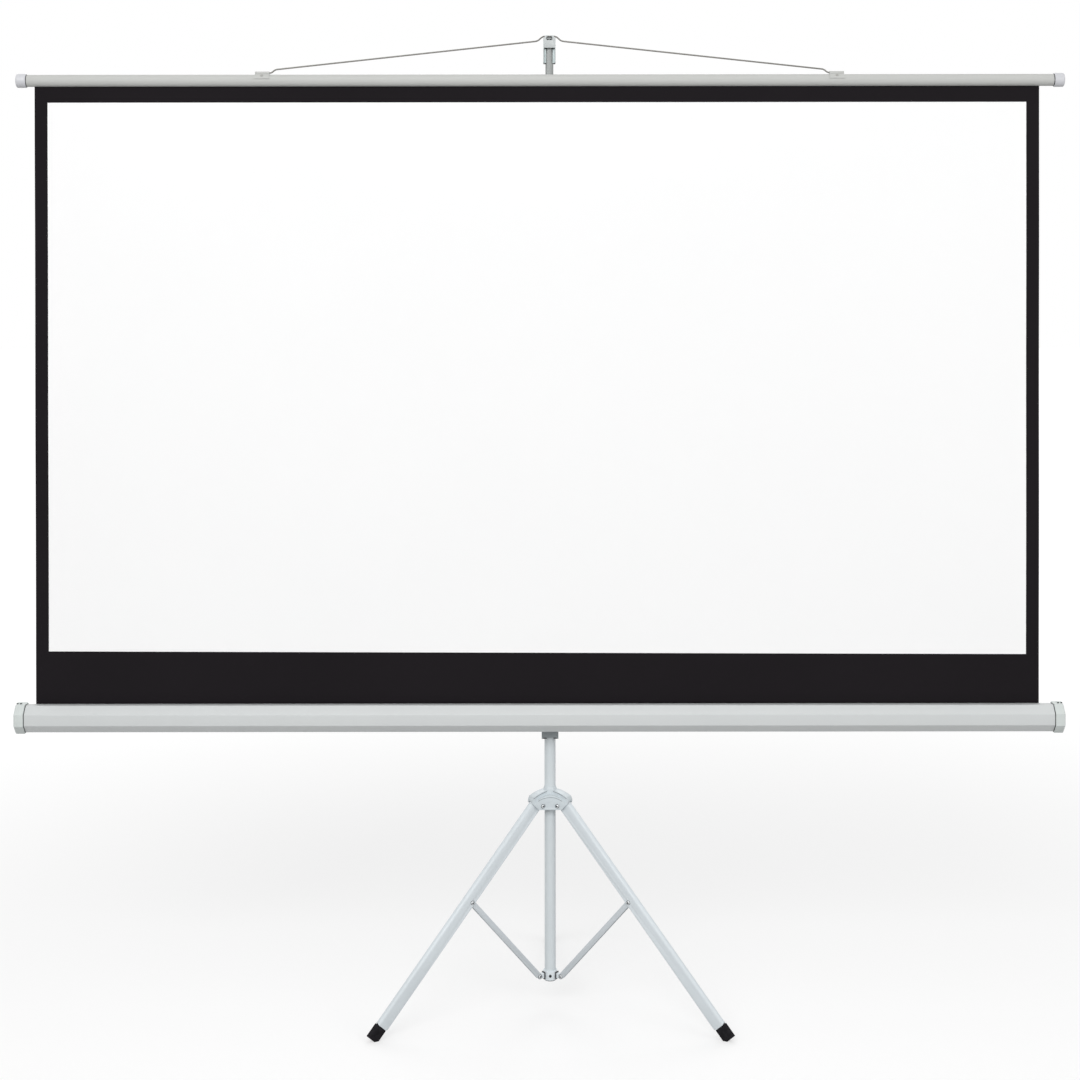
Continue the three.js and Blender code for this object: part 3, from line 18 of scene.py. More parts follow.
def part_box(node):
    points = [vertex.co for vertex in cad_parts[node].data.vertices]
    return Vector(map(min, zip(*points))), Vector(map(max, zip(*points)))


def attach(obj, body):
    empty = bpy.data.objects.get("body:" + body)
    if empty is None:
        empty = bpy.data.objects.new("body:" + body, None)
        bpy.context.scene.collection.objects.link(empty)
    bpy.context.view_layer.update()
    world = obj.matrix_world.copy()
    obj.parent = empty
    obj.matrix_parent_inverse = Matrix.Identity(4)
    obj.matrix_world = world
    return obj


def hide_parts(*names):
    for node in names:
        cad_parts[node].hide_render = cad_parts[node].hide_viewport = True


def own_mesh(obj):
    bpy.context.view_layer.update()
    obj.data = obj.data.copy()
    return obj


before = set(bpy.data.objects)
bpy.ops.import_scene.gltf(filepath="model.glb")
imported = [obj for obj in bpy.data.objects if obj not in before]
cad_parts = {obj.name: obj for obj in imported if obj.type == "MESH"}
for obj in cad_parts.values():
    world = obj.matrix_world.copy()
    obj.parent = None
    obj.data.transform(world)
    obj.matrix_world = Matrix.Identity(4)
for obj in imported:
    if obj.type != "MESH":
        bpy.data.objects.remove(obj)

LOG = logging.getLogger("projector_screen")
MM = 0.001
PATTERN_LOW, PATTERN_HIGH = 0.3, 0.7  # nearly all values of a noise pattern lie between these
Point2 = tuple[float, float]
Point3 = tuple[float, float, float]
Face = tuple[int, ...]
Piece = bpy.types.Object
Socket = bpy.types.NodeSocket
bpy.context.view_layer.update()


class Axis(Enum):
    """A direction of the frame."""

    X = 0
    Y = 1
    Z = 2


class Blend(Enum):
    """How one solid is combined with others."""

    JOIN = "UNION"
    CUT = "DIFFERENCE"


class Side(Enum):
    """An end of the case or of the top tube, as the viewer sees it."""

    LEFT = -1
    RIGHT = 1

    @property
    def label(self) -> str:
        """The word that node names use."""
        return self.name.lower()

    def outer(self, box: tuple[Vector, Vector]) -> float:
        """The X of a box's face that looks out at this end."""
        return box[max(0, self.value)].x

    def inner(self, box: tuple[Vector, Vector]) -> float:
        """The X of a box's face that looks in at this end."""
        return box[max(0, -self.value)].x


class LegPlace(Enum):
    """Where a leg points, in degrees from +X."""

    REAR = 90.0
    LEFT = 210.0
    RIGHT = 330.0

    @property
    def label(self) -> str:
        """The word that node and body names use."""
        return self.name.lower()

    @property
    def turn(self) -> float:
        """The direction in radians."""
        return math.radians(self.value)


# Finishes: each one draws a procedural material.


def linear(channel: float) -> float:
    """Turns one sRGB channel into linear light.

    Args:
        channel: The value from 0 to 255.

    Returns:
        The linear value from 0 to 1.
    """
    value = channel / 255.0
    return value / 12.92 if value <= 0.04045 else ((value + 0.055) / 1.055) ** 2.4


@dataclass(frozen=True)
class Shade:
    """A colour as a picture shows it, in 0 to 255 per channel."""

    red: float
    green: float
    blue: float

    def rgba(self, scale: float = 1.0) -> tuple[float, float, float, float]:
        """The linear colour, made lighter or darker by a factor.

        Args:
            scale: Factor on the linear value.

        Returns:
            Red, green, blue and alpha.
        """
        return (*(min(1.0, linear(c) * scale) for c in (self.red, self.green, self.blue)), 1.0)


class NodeGraph:
    """Adds and joins the nodes of one tree."""

    def __init__(self, tree: bpy.types.NodeTree) -> None:
        """Keeps the tree.

        Args:
            tree: The tree that takes the nodes.
        """
        self.tree = tree

    def add(self, kind: str, values: dict[str, object] | None = None, **settings: object) -> bpy.types.Node:
        """Adds a node.

        Args:
            kind: The node's type name.
            values: Values of its inputs, by name.
            **settings: Properties to set on it.

        Returns:
            The new node.
        """
        node = self.tree.nodes.new(kind)
        for key, value in settings.items():
            setattr(node, key, value)
        for key, value in (values or {}).items():
            node.inputs[key].default_value = value
        return node

    def join(self, source: Socket, target: Socket) -> None:
        """Links an output to an input."""
        self.tree.links.new(source, target)

    def wire(self, *links: tuple[bpy.types.Node, str, bpy.types.Node, str]) -> None:
        """Links nodes by the names of their sockets.

        Args:
            *links: For each link a node, its output, the next node and its input.
        """
        for source, output, target, entry in links:
            self.join(source.outputs[output], target.inputs[entry])


class NodeSketch(NodeGraph):
    """One material: its shader and the patterns that drive it."""

    def __init__(self, name: str) -> None:
        """Makes an empty material.

        Args:
            name: The material's name.
        """
        self.material = bpy.data.materials.new(name)
        self.material.use_nodes = True
        super().__init__(self.material.node_tree)
        self.tree.nodes.clear()
        self.shader = self.add("ShaderNodeBsdfPrincipled")
        self.wire((self.shader, "BSDF", self.add("ShaderNodeOutputMaterial"), "Surface"))
        self.place = self.add("ShaderNodeTexCoord").outputs["Object"]

    def fix(self, values: dict[str, object]) -> None:
        """Sets inputs of the shader by name."""
        for key, value in values.items():
            self.shader.inputs[key].default_value = value

    def stretched(self, scale: Point3) -> Socket:
        """Object coordinates scaled along each axis.

        Args:
            scale: The factor along X, Y and Z.

        Returns:
            The scaled coordinates.
        """
        mapping = self.add("ShaderNodeMapping", {"Scale": scale})
        self.join(self.place, mapping.inputs["Vector"])
        return mapping.outputs["Vector"]

    def noise(self, scale: float, detail: float = 2.0, vector: Socket | None = None) -> Socket:
        """A noise pattern.

        Args:
            scale: Cells per metre.
            detail: Octaves.
            vector: Coordinates to read, or the plain ones.

        Returns:
            The pattern's value.
        """
        node = self.add("ShaderNodeTexNoise", {"Scale": scale, "Detail": detail})
        self.join(vector or self.place, node.inputs["Vector"])
        return node.outputs["Fac"]

    def gloss(self, pattern: Socket, middle: float, down: float, up: float) -> None:
        """Varies the roughness a little about its middle.

        Args:
            pattern: The pattern that drives it.
            middle: The middle roughness.
            down: How far it goes below.
            up: How far it goes above.
        """
        span = {
            "From Min": PATTERN_LOW, "From Max": PATTERN_HIGH, "To Min": middle - down, "To Max": middle + up
        }
        node = self.add("ShaderNodeMapRange", span)
        self.join(pattern, node.inputs["Value"])
        self.join(node.outputs["Result"], self.shader.inputs["Roughness"])

    def tones(self, pattern: Socket, shade: Shade, spread: float) -> None:
        """Varies the base colour a little about its shade.

        Args:
            pattern: The pattern that drives it.
            shade: The middle colour.
            spread: How far the linear colour goes to either side, as a share.
        """
        node = self.add("ShaderNodeValToRGB")
        first, last = node.color_ramp.elements
        first.position, last.position = PATTERN_LOW, PATTERN_HIGH
        first.color, last.color = shade.rgba(1.0 - spread), shade.rgba(1.0 + spread)
        self.join(pattern, node.inputs["Fac"])
        self.join(node.outputs["Color"], self.shader.inputs["Base Color"])

    def relief(self, height: Socket, depth: float, strength: float = 1.0) -> None:
        """Bumps the surface by a height pattern, on top of any bump it has.

        Args:
            height: The pattern.
            depth: Its depth in metres.
            strength: Share of it that shows.
        """
        node = self.add("ShaderNodeBump", {"Distance": depth, "Strength": strength})
        normal = self.shader.inputs["Normal"]
        if normal.is_linked:
            self.join(normal.links[0].from_socket, node.inputs["Normal"])
        self.join(height, node.inputs["Height"])
        self.join(node.outputs["Normal"], normal)


@dataclass(frozen=True)
class Finish(ABC):
    """A finish that is made into a material once."""

    name: str
    shade: Shade
    _made: ClassVar[dict[str, bpy.types.Material]] = {}

    @abstractmethod
    def draw(self, sketch: NodeSketch) -> None:
        """Fills the sketch with this finish's nodes."""

    def material(self) -> bpy.types.Material:
        """The finish's material, made on first use."""
        if self.name not in Finish._made:
            sketch = NodeSketch(self.name)
            self.draw(sketch)
            Finish._made[self.name] = sketch.material
        return Finish._made[self.name]


@dataclass(frozen=True)
class SprayedPaint(Finish):
    """Smooth sprayed paint with a faint orange peel and slight cloudiness."""

    gloss: float = 0.42
    cloud: float = 0.025
    cloud_scale: float = 7.0
    scuff_scale: float = 60.0
    peel_scale: float = 900.0
    peel_depth: float = 0.00004
    coat: float = 0.12
    coat_gloss: float = 0.2

    def draw(self, sketch: NodeSketch) -> None:
        """Paint over sheet metal: peel as bump, clouds in colour and gloss."""
        sketch.tones(sketch.noise(self.cloud_scale, 3.0), self.shade, self.cloud)
        sketch.gloss(sketch.noise(self.scuff_scale, 6.0), self.gloss, 0.06, 0.08)
        sketch.fix({"Metallic": 0.0, "Coat Weight": self.coat, "Coat Roughness": self.coat_gloss})
        sketch.relief(sketch.noise(self.peel_scale), self.peel_depth)


@dataclass(frozen=True)
class MouldedPlastic(Finish):
    """Moulded plastic with a fine spark-eroded texture."""

    gloss: float = 0.5
    flow_scale: float = 30.0
    flow_spread: float = 0.03
    touch_scale: float = 250.0
    grain_scale: float = 2200.0
    grain_depth: float = 0.00005

    def draw(self, sketch: NodeSketch) -> None:
        """Plastic: fine grain, faint flow marks."""
        sketch.tones(sketch.noise(self.flow_scale, 3.0), self.shade, self.flow_spread)
        sketch.gloss(sketch.noise(self.touch_scale, 3.0), self.gloss, 0.05, 0.07)
        sketch.relief(sketch.noise(self.grain_scale), self.grain_depth)


@dataclass(frozen=True)
class DrawnMetal(Finish):
    """Bare metal with fine lines along the way it was drawn or brushed."""

    gloss: float = 0.3
    along: Axis = Axis.X
    metallic: float = 1.0
    line_scale: float = 1600.0
    line_stretch: float = 180.0
    line_spread: float = 0.05
    line_depth: float = 0.00001

    def draw(self, sketch: NodeSketch) -> None:
        """Metal: stretched noise drives the lines in colour, gloss and bump."""
        scale = [self.line_scale] * 3
        scale[self.along.value] = self.line_scale / self.line_stretch
        lines = sketch.noise(1.0, 3.0, sketch.stretched(tuple(scale)))
        sketch.tones(lines, self.shade, self.line_spread)
        sketch.gloss(lines, self.gloss, 0.05, 0.08)
        sketch.fix({"Metallic": self.metallic})
        sketch.relief(lines, self.line_depth)


@dataclass(frozen=True)
class SoftRubber(Finish):
    """Dull black rubber with dust in its grain."""

    gloss: float = 0.75
    shine: float = 0.12
    dust_scale: float = 90.0
    dust_spread: float = 0.35
    touch_scale: float = 400.0
    grain_scale: float = 1500.0
    grain_depth: float = 0.00012

    def draw(self, sketch: NodeSketch) -> None:
        """Rubber: coarse and fine grain, dusty patches."""
        sketch.tones(sketch.noise(self.dust_scale, 6.0), self.shade, self.dust_spread)
        sketch.fix({"Specular IOR Level": self.shine})
        sketch.gloss(sketch.noise(self.touch_scale, 4.0), self.gloss, 0.1, 0.12)
        sketch.relief(sketch.noise(self.grain_scale, 4.0), self.grain_depth)


@dataclass(frozen=True)
class CoatedCloth(Finish):
    """Woven glass cloth under a matt coat, the weave just showing through."""

    gloss: float = 0.92
    threads_per_metre: float = 1400.0
    spread: float = 0.01
    shine: float = 0.25
    cloud_scale: float = 2.5
    weave_depth: float = 0.00006
    weave_strength: float = 0.6

    def draw(self, sketch: NodeSketch) -> None:
        """Cloth: two crossing sets of threads as bump, faint clouds in colour."""
        sketch.tones(sketch.noise(self.cloud_scale, 3.0), self.shade, self.spread)
        sketch.fix({"Roughness": self.gloss, "Specular IOR Level": self.shine})
        threads = {"Scale": self.threads_per_metre / (2.0 * math.pi), "Distortion": 0.6, "Detail Scale": 2.0}
        for direction in ("X", "Z"):
            wave = sketch.add("ShaderNodeTexWave", threads, wave_type="BANDS", bands_direction=direction)
            sketch.join(sketch.place, wave.inputs["Vector"])
            sketch.relief(wave.outputs["Fac"], self.weave_depth, self.weave_strength)


MAST_PAINT = SprayedPaint("mast_grey_paint", Shade(212, 219, 222), gloss=0.4)
LEG_PAINT = SprayedPaint("leg_light_grey_paint", Shade(213, 220, 224), gloss=0.42)
HUB_PAINT = SprayedPaint("hub_grey_paint", Shade(203, 211, 215), gloss=0.42)
# Painted shade: the dark crease line stands in for the shadow under each hub plate's arch.
HUB_CREASE_PAINTED_SHADE = SprayedPaint("hub_crease_shade", Shade(138, 146, 150), gloss=0.6)
BRACE_PAINT = SprayedPaint("brace_grey_paint", Shade(200, 206, 210), gloss=0.42)
CASE_PAINT = SprayedPaint("case_silver_grey_paint", Shade(207, 210, 210), gloss=0.42, cloud=0.012)
CARRIAGE_PAINT = SprayedPaint("carriage_dark_grey_paint", Shade(147, 154, 157), gloss=0.45)
CLIP_PAINT = SprayedPaint("clip_grey_paint", Shade(185, 190, 190), gloss=0.42)
# Painted light: a lighter, bluish copy of the clip paint on the folds beside the rod, where the deep gaps lie
# in shade.
CLIP_INSIDE_PAINTED_LIGHT = SprayedPaint("clip_bluish_inside_paint", Shade(206, 218, 219), gloss=0.5)
# Painted light: a lighter copy of the mast paint that lifts the collar out of the shade it lies in.
COLLAR_PAINT_PAINTED_LIGHT = SprayedPaint("collar_grey_paint", Shade(226, 233, 237), gloss=0.4)
CAP_PLASTIC = MouldedPlastic("end_cap_pale_plastic", Shade(208, 214, 212), gloss=0.45)
BAR_CAP_PLASTIC = MouldedPlastic("bar_cap_bluish_plastic", Shade(205, 206, 210), gloss=0.35)
BLACK_PLASTIC = MouldedPlastic("black_moulded_plastic", Shade(43, 43, 46), gloss=0.5)
# Painted shade: near-black pieces put in gaps, slots and seams where there is only shade.
PAINTED_RECESS_SHADE = MouldedPlastic("dark_recess_plastic", Shade(48, 50, 52), gloss=0.7)
BAR_METAL = DrawnMetal("top_bar_satin_lacquer", Shade(192, 193, 190), gloss=0.62, metallic=0.0)
# Darker than the top tube's metal: partly the rod's own tone, partly painted shade that the clip casts.
ROD_METAL_AND_PAINTED_SHADE = DrawnMetal("rod_satin_metal", Shade(144, 147, 146), gloss=0.45, along=Axis.Z, metallic=0.3)
WIRE_STEEL = DrawnMetal("grey_wire_steel", Shade(122, 120, 116), gloss=0.4, metallic=0.6)
SCREW_STEEL = DrawnMetal("screw_steel", Shade(186, 186, 182), gloss=0.35, metallic=0.6)
RIVET_STEEL = DrawnMetal("rivet_steel", Shade(196, 199, 201), gloss=0.3, metallic=0.8, line_scale=700.0)
# Dark steel for the collar screw, and painted shade in rivets' hollows and in the rings round their heads.
DARK_STEEL_AND_PAINTED_SHADE = DrawnMetal("rivet_hollow_and_washer", Shade(44, 46, 48), gloss=0.6, metallic=0.3)
ROLLER_STEEL = DrawnMetal("zinc_coated_steel", Shade(180, 184, 187), gloss=0.4)
FOOT_RUBBER = SoftRubber("foot_black_rubber", Shade(28, 27, 30))
SHEET_WHITE = CoatedCloth("sheet_matt_white", Shade(251, 251, 251), spread=0.004)
SHEET_BORDER = CoatedCloth("sheet_black_border", Shade(28, 25, 28), gloss=0.8, spread=0.08, shine=0.08)
SHEET_BACK = CoatedCloth("sheet_black_back", Shade(38, 38, 40), gloss=0.8, spread=0.06)


# Meshes: solids from outlines, and what is done to them.


def enrol(name: str, data: bpy.types.ID) -> Piece:
    """Puts a new object with some data into the scene.

    Args:
        name: The object's name.
        data: Its mesh, light or camera.

    Returns:
        The new object.
    """
    thing = bpy.data.objects.new(name, data)
    bpy.context.scene.collection.objects.link(thing)
    return thing


class Workshop:
    """Makes and finishes plain meshes in the frame's own coordinates."""

    @staticmethod
    def from_data(
        name: str,
        points: Sequence[Point3],
        faces: Sequence[Face],
        finish: Finish | None,
        edges: Sequence[Face] = (),
    ) -> Piece:
        """Makes a mesh object from points and faces or edges.

        Args:
            name: The piece's name.
            points: Its points.
            faces: Its faces as indices.
            finish: What it is finished with, if anything yet.
            edges: Its loose edges as indices.

        Returns:
            The new object.
        """
        mesh = bpy.data.meshes.new(name)
        mesh.from_pydata([tuple(p) for p in points], edges, [tuple(f) for f in faces])
        if finish:
            mesh.materials.append(finish.material())
        return enrol(name, mesh)

    @staticmethod
    def weld(piece: Piece, distance: float = 1e-6, speck: float = 0.0) -> Piece:
        """Merges doubled points and turns all faces outwards.

        Args:
            piece: The piece to treat.
            distance: Points nearer than this are merged.
            speck: Faces and edges smaller than this are dissolved, where it isn't zero.

        Returns:
            The same piece.
        """
        shell = bmesh.new()
        shell.from_mesh(piece.data)
        bmesh.ops.remove_doubles(shell, verts=shell.verts, dist=distance)
        if speck:
            bmesh.ops.dissolve_degenerate(shell, edges=shell.edges, dist=speck)
        bmesh.ops.recalc_face_normals(shell, faces=shell.faces)
        shell.to_mesh(piece.data)
        shell.free()
        return piece

    @staticmethod
    def smooth(piece: Piece, degrees: float = 32.0) -> Piece:
        """Shades smooth, with edges sharper than an angle kept.

        Args:
            piece: The piece to shade.
            degrees: The angle.

        Returns:
            The same piece.
        """
        piece.data.shade_smooth()
        piece.data.set_sharp_from_angle(angle=math.radians(degrees))
        return piece

    @staticmethod
    def settle(piece: Piece) -> Piece:
        """Turns the piece's modifiers into a plain mesh.

        Args:
            piece: A piece with modifiers.

        Returns:
            The same piece without them.
        """
        bpy.context.view_layer.update()
        graph = bpy.context.evaluated_depsgraph_get()
        mesh = bpy.data.meshes.new_from_object(piece.evaluated_get(graph))
        piece.modifiers.clear()
        piece.data = mesh
        return piece

    @staticmethod
    def bevel(piece: Piece, width: float, segments: int = 2, degrees: float = 35.0) -> Piece:
        """Rounds every edge that is sharper than an angle.

        Args:
            piece: The piece to round.
            width: Width in metres.
            segments: Steps round the edge.
            degrees: The angle.

        Returns:
            The same piece.
        """
        tool = piece.modifiers.new("edges", "BEVEL")
        tool.width = width
        tool.segments = segments
        tool.limit_method = "ANGLE"
        tool.angle_limit = math.radians(degrees)
        tool.use_clamp_overlap = True
        return Workshop.smooth(Workshop.settle(piece), degrees)

    @staticmethod
    def combine(piece: Piece, blend: Blend, *others: Piece) -> Piece:
        """Joins other solids to a piece or cuts them out of it.

        Args:
            piece: The piece to change.
            blend: Whether they are joined or cut away.
            *others: Solids that are used up.

        Returns:
            The same piece.
        """
        for other in others:
            tool = piece.modifiers.new(blend.name, "BOOLEAN")
            tool.operation = blend.value
            tool.solver = "EXACT"
            tool.object = other
        if others:
            Workshop.settle(piece)
        for other in others:
            bpy.data.objects.remove(other)
        return piece

    @staticmethod
    def gather(piece: Piece, *others: Piece) -> Piece:
        """Puts separate shells into one mesh, with their own finishes.

        Args:
            piece: The mesh that takes the others in.
            *others: Pieces that are used up.

        Returns:
            The first piece.
        """
        shell = bmesh.new()
        shell.from_mesh(piece.data)
        for other in others:
            start = len(piece.data.materials)
            for material in other.data.materials:
                piece.data.materials.append(material)
            known = set(shell.faces)
            shell.from_mesh(other.data)
            for face in shell.faces:
                if face not in known:
                    face.material_index += start
            bpy.data.objects.remove(other)
        shell.to_mesh(piece.data)
        shell.free()
        return piece

    @staticmethod
    def move(piece: Piece, matrix: Matrix) -> Piece:
        """Moves the points of a piece.

        Args:
            piece: The piece to move.
            matrix: Where to.

        Returns:
            The same piece.
        """
        piece.data.transform(matrix)
        piece.data.update()
        return piece

    @staticmethod
    def prism(
        name: str, outline: Sequence[Point2], axis: Axis, span: Sequence[float], finish: Finish
    ) -> Piece:
        """Runs a closed outline along an axis.

        Args:
            name: The piece's name.
            outline: Points in the two other axes, in X, Y, Z order.
            axis: The axis it runs along.
            span: Its two ends along the axis, in either order.
            finish: What it is finished with.

        Returns:
            The new solid.
        """
        rings = []
        for along in sorted(span):
            ring = [list(pair) for pair in outline]
            for point in ring:
                point.insert(axis.value, along)
            rings.append(ring)
        return Workshop.loft(name, rings, finish)

    @staticmethod
    def block(name: str, low: Point3, high: Point3, finish: Finish) -> Piece:
        """A box between two corners."""
        outline = [(low[0], low[1]), (high[0], low[1]), (high[0], high[1]), (low[0], high[1])]
        return Workshop.prism(name, outline, Axis.Z, (low[2], high[2]), finish)

    @staticmethod
    def revolve(
        name: str, profile: Sequence[Point2], axis: Axis, centre: Point3, finish: Finish, steps: int = 64
    ) -> Piece:
        """Turns a profile about an axis.

        Args:
            name: The piece's name.
            profile: Radius and place along the axis. It closes on itself, or starts and ends on the axis.
            axis: The axis.
            centre: The point that radius zero and place zero mean.
            finish: What it is finished with.
            steps: Steps round.

        Returns:
            The new solid.
        """
        along = axis.value
        side, up = (along + 1) % 3, (along + 2) % 3
        closed = profile[0][0] > 1e-9 or profile[-1][0] > 1e-9
        points, faces = [], []
        rows = len(profile)
        for step in range(steps):
            angle = 2 * math.pi * step / steps
            for radius, place in profile:
                point = [0.0, 0.0, 0.0]
                point[along] = centre[along] + place
                point[side] = centre[side] + radius * math.cos(angle)
                point[up] = centre[up] + radius * math.sin(angle)
                points.append(point)
        for step in range(steps):
            a, b = step * rows, ((step + 1) % steps) * rows
            for row in range(rows if closed else rows - 1):
                after = (row + 1) % rows
                faces.append((a + row, a + after, b + after, b + row))
        piece = Workshop.from_data(name, points, faces, finish)
        return Workshop.smooth(Workshop.weld(piece, 1e-7, 1e-8))

    @staticmethod
    def loft(name: str, rings: Sequence[Sequence[Point3]], finish: Finish) -> Piece:
        """Joins closed rings of equal count into a solid with flat ends.

        Args:
            name: The piece's name.
            rings: The rings in order.
            finish: What it is finished with.

        Returns:
            The new solid.
        """
        count = len(rings[0])
        points = [p for ring in rings for p in ring]
        last = len(points) - 1
        faces: list[Face] = [tuple(range(count)), tuple(range(last, last - count, -1))]
        for row in range(len(rings) - 1):
            a, b = row * count, (row + 1) * count
            faces += [(a + i, a + (i + 1) % count, b + (i + 1) % count, b + i) for i in range(count)]
        return Workshop.weld(Workshop.from_data(name, points, faces, finish))

    @staticmethod
    def refined(
        node: str,
        name: str,
        finish: Finish,
        width: float,
        segments: int = 2,
        joins: Sequence[Piece] = (),
        cuts: Sequence[Piece] = (),
    ) -> Piece:
        """A copy of a model node with flat faces joined up and its edges rounded.

        Args:
            node: The model's node.
            name: The new piece's name.
            finish: What it is finished with.
            width: Rounding in metres.
            segments: Steps round an edge.
            joins: Solids that are joined on first and used up.
            cuts: Solids that are cut away next and used up.

        Returns:
            The new piece.
        """
        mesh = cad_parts[node].data.copy()
        mesh.name = name
        mesh.materials.clear()
        mesh.materials.append(finish.material())
        piece = enrol(name, mesh)
        shell = bmesh.new()
        shell.from_mesh(mesh)
        bmesh.ops.remove_doubles(shell, verts=shell.verts, dist=2e-6)
        flat = math.radians(0.6)
        bmesh.ops.dissolve_limit(shell, angle_limit=flat, verts=shell.verts, edges=shell.edges)
        for face in shell.faces:
            face.material_index = 0
        shell.to_mesh(mesh)
        shell.free()
        for layer in list(mesh.attributes):
            if layer.name in {"custom_normal", "sharp_edge"}:
                mesh.attributes.remove(layer)
        Workshop.combine(piece, Blend.JOIN, *joins)
        Workshop.combine(piece, Blend.CUT, *cuts)
        return Workshop.bevel(piece, width, segments)


def arc(centre: Point2, radius: float, start: float, end: float, steps: int) -> list[Point2]:
    """Points on an arc.

    Args:
        centre: Its middle.
        radius: Its radius.
        start: First angle in degrees.
        end: Last angle in degrees.
        steps: Number of steps.

    Returns:
        The points, both ends included.
    """
    turns = [math.radians(start + (end - start) * i / steps) for i in range(steps + 1)]
    return [(centre[0] + radius * math.cos(t), centre[1] + radius * math.sin(t)) for t in turns]


def curve(start: Point2, bend: Point2, end: Point2, steps: int) -> list[Point2]:
    """Points on a curve from one point to another that a third pulls towards itself.

    Args:
        start: Its first point.
        bend: The point that pulls.
        end: Its last point.
        steps: Number of steps.

    Returns:
        The points, both ends included.
    """
    a, b, c = Vector(start), Vector(bend), Vector(end)
    shares = [step / steps for step in range(steps + 1)]
    return [tuple(a * (1 - t) ** 2 + b * (2 * t * (1 - t)) + c * t**2) for t in shares]


def rounded(corners: Sequence[Point2], radius: float, steps: int = 4) -> list[Point2]:
    """Rounds the corners of a convex outline.

    Args:
        corners: The outline's corners in order.
        radius: How far along each side the rounding starts, in metres.
        steps: Steps round a corner.

    Returns:
        The rounded outline.
    """
    points: list[Point2] = []
    for before, corner, after in zip([corners[-1], *corners], corners, [*corners[1:], corners[0]]):
        here = Vector(corner)
        ends = [(Vector(other) - here).normalized() * radius + here for other in (before, after)]
        points += curve(ends[0], here, ends[1], steps)
    return points


def octagon(across: float, centre: Point2 = (0.0, 0.0)) -> list[Point2]:
    """The corners of a regular octagon that stands on a flat.

    Args:
        across: Distance across its flats.
        centre: Its middle.

    Returns:
        Its eight corners.
    """
    half, side = across / 2, across / 2 * math.tan(math.pi / 8)
    right = [(half, -side), (half, side), (side, half)]
    left = [(-side, half), (-half, side), (-half, -side), (-side, -half)]
    return [(centre[0] + x, centre[1] + y) for x, y in (*right, *left, (side, -half))]


# Node trees: wire along a path, and heads on points.


class TreeSketch(NodeGraph):
    """One Geometry Nodes tree with named inputs."""

    def __init__(self, name: str, inputs: dict[str, str]) -> None:
        """Makes an empty tree with a geometry input and output.

        Args:
            name: The tree's name.
            inputs: The kind of each further input, by name.
        """
        super().__init__(bpy.data.node_groups.new(name, "GeometryNodeTree"))
        face = self.tree.interface
        face.new_socket("Geometry", in_out="OUTPUT", socket_type="NodeSocketGeometry")
        for label, kind in {"Geometry": "Geometry", **inputs, "Finish": "Material"}.items():
            face.new_socket(label, in_out="INPUT", socket_type="NodeSocket" + kind)
        self.start = self.add("NodeGroupInput")
        self.end = self.add("NodeGroupOutput")

    def close(self, last: bpy.types.Node, output: str) -> bpy.types.NodeTree:
        """Ends the tree in Realize Instances and Set Material.

        Args:
            last: The node that gives what the tree has made.
            output: Its output.

        Returns:
            The finished tree.
        """
        real, dress = self.add("GeometryNodeRealizeInstances"), self.add("GeometryNodeSetMaterial")
        self.wire(
            (last, output, real, "Geometry"),
            (real, "Geometry", dress, "Geometry"),
            (self.start, "Finish", dress, "Material"),
            (dress, "Geometry", self.end, "Geometry"),
        )
        return self.tree


class SharedTree(ABC):
    """A Geometry Nodes tree that is built once and run on many pieces."""

    label: str
    _made: dict[str, bpy.types.NodeTree] = {}

    @classmethod
    @abstractmethod
    def draw(cls) -> bpy.types.NodeTree:
        """Builds the tree."""

    @classmethod
    def apply(cls, piece: Piece, values: dict[str, object]) -> Piece:
        """Runs the tree on a piece and keeps the result as its plain mesh.

        Args:
            piece: The piece whose mesh feeds the tree.
            values: The value of each named input.

        Returns:
            The same piece.
        """
        if cls.label not in cls._made:
            cls._made[cls.label] = cls.draw()
        tree = cls._made[cls.label]
        tool = piece.modifiers.new(cls.label, "NODES")
        tool.node_group = tree
        for item in tree.interface.items_tree:
            if getattr(item, "in_out", "") == "INPUT" and item.name in values:
                tool[item.identifier] = values[item.name]
        return Workshop.settle(piece)


class WireTree(SharedTree):
    """Round wire along the edges of a mesh."""

    label: str = "wire_along_path"

    @classmethod
    def draw(cls) -> bpy.types.NodeTree:
        """Sweeps a circle along the mesh's edges."""
        sketch = TreeSketch(cls.label, {"Radius": "Float", "Sides": "Int"})
        path = sketch.add("GeometryNodeMeshToCurve")
        ring = sketch.add("GeometryNodeCurvePrimitiveCircle")
        sweep = sketch.add("GeometryNodeCurveToMesh", {"Fill Caps": True})
        shade = sketch.add("GeometryNodeSetShadeSmooth")
        sketch.wire(
            (sketch.start, "Geometry", path, "Mesh"),
            (sketch.start, "Radius", ring, "Radius"),
            (sketch.start, "Sides", ring, "Resolution"),
            (path, "Curve", sweep, "Curve"),
            (ring, "Curve", sweep, "Profile Curve"),
            (sweep, "Mesh", shade, "Geometry"),
        )
        return sketch.close(shade, "Geometry")

    @classmethod
    def run(cls, name: str, path: Sequence[Point3], radius: float, finish: Finish, sides: int = 8) -> Piece:
        """Makes a wire.

        Args:
            name: The piece's name.
            path: Points along its middle.
            radius: Its radius.
            finish: What it is finished with.
            sides: Sides round.

        Returns:
            The wire as a plain mesh.
        """
        piece = Workshop.from_data(name, path, [], None, [(i, i + 1) for i in range(len(path) - 1)])
        cls.apply(piece, {"Radius": radius, "Sides": sides, "Finish": finish.material()})
        return Workshop.smooth(Workshop.weld(piece), 40.0)


@dataclass(frozen=True)
class RivetSite:
    """One rivet or screw end: the point on the surface and the way out of it."""

    point: Point3
    outward: Point3


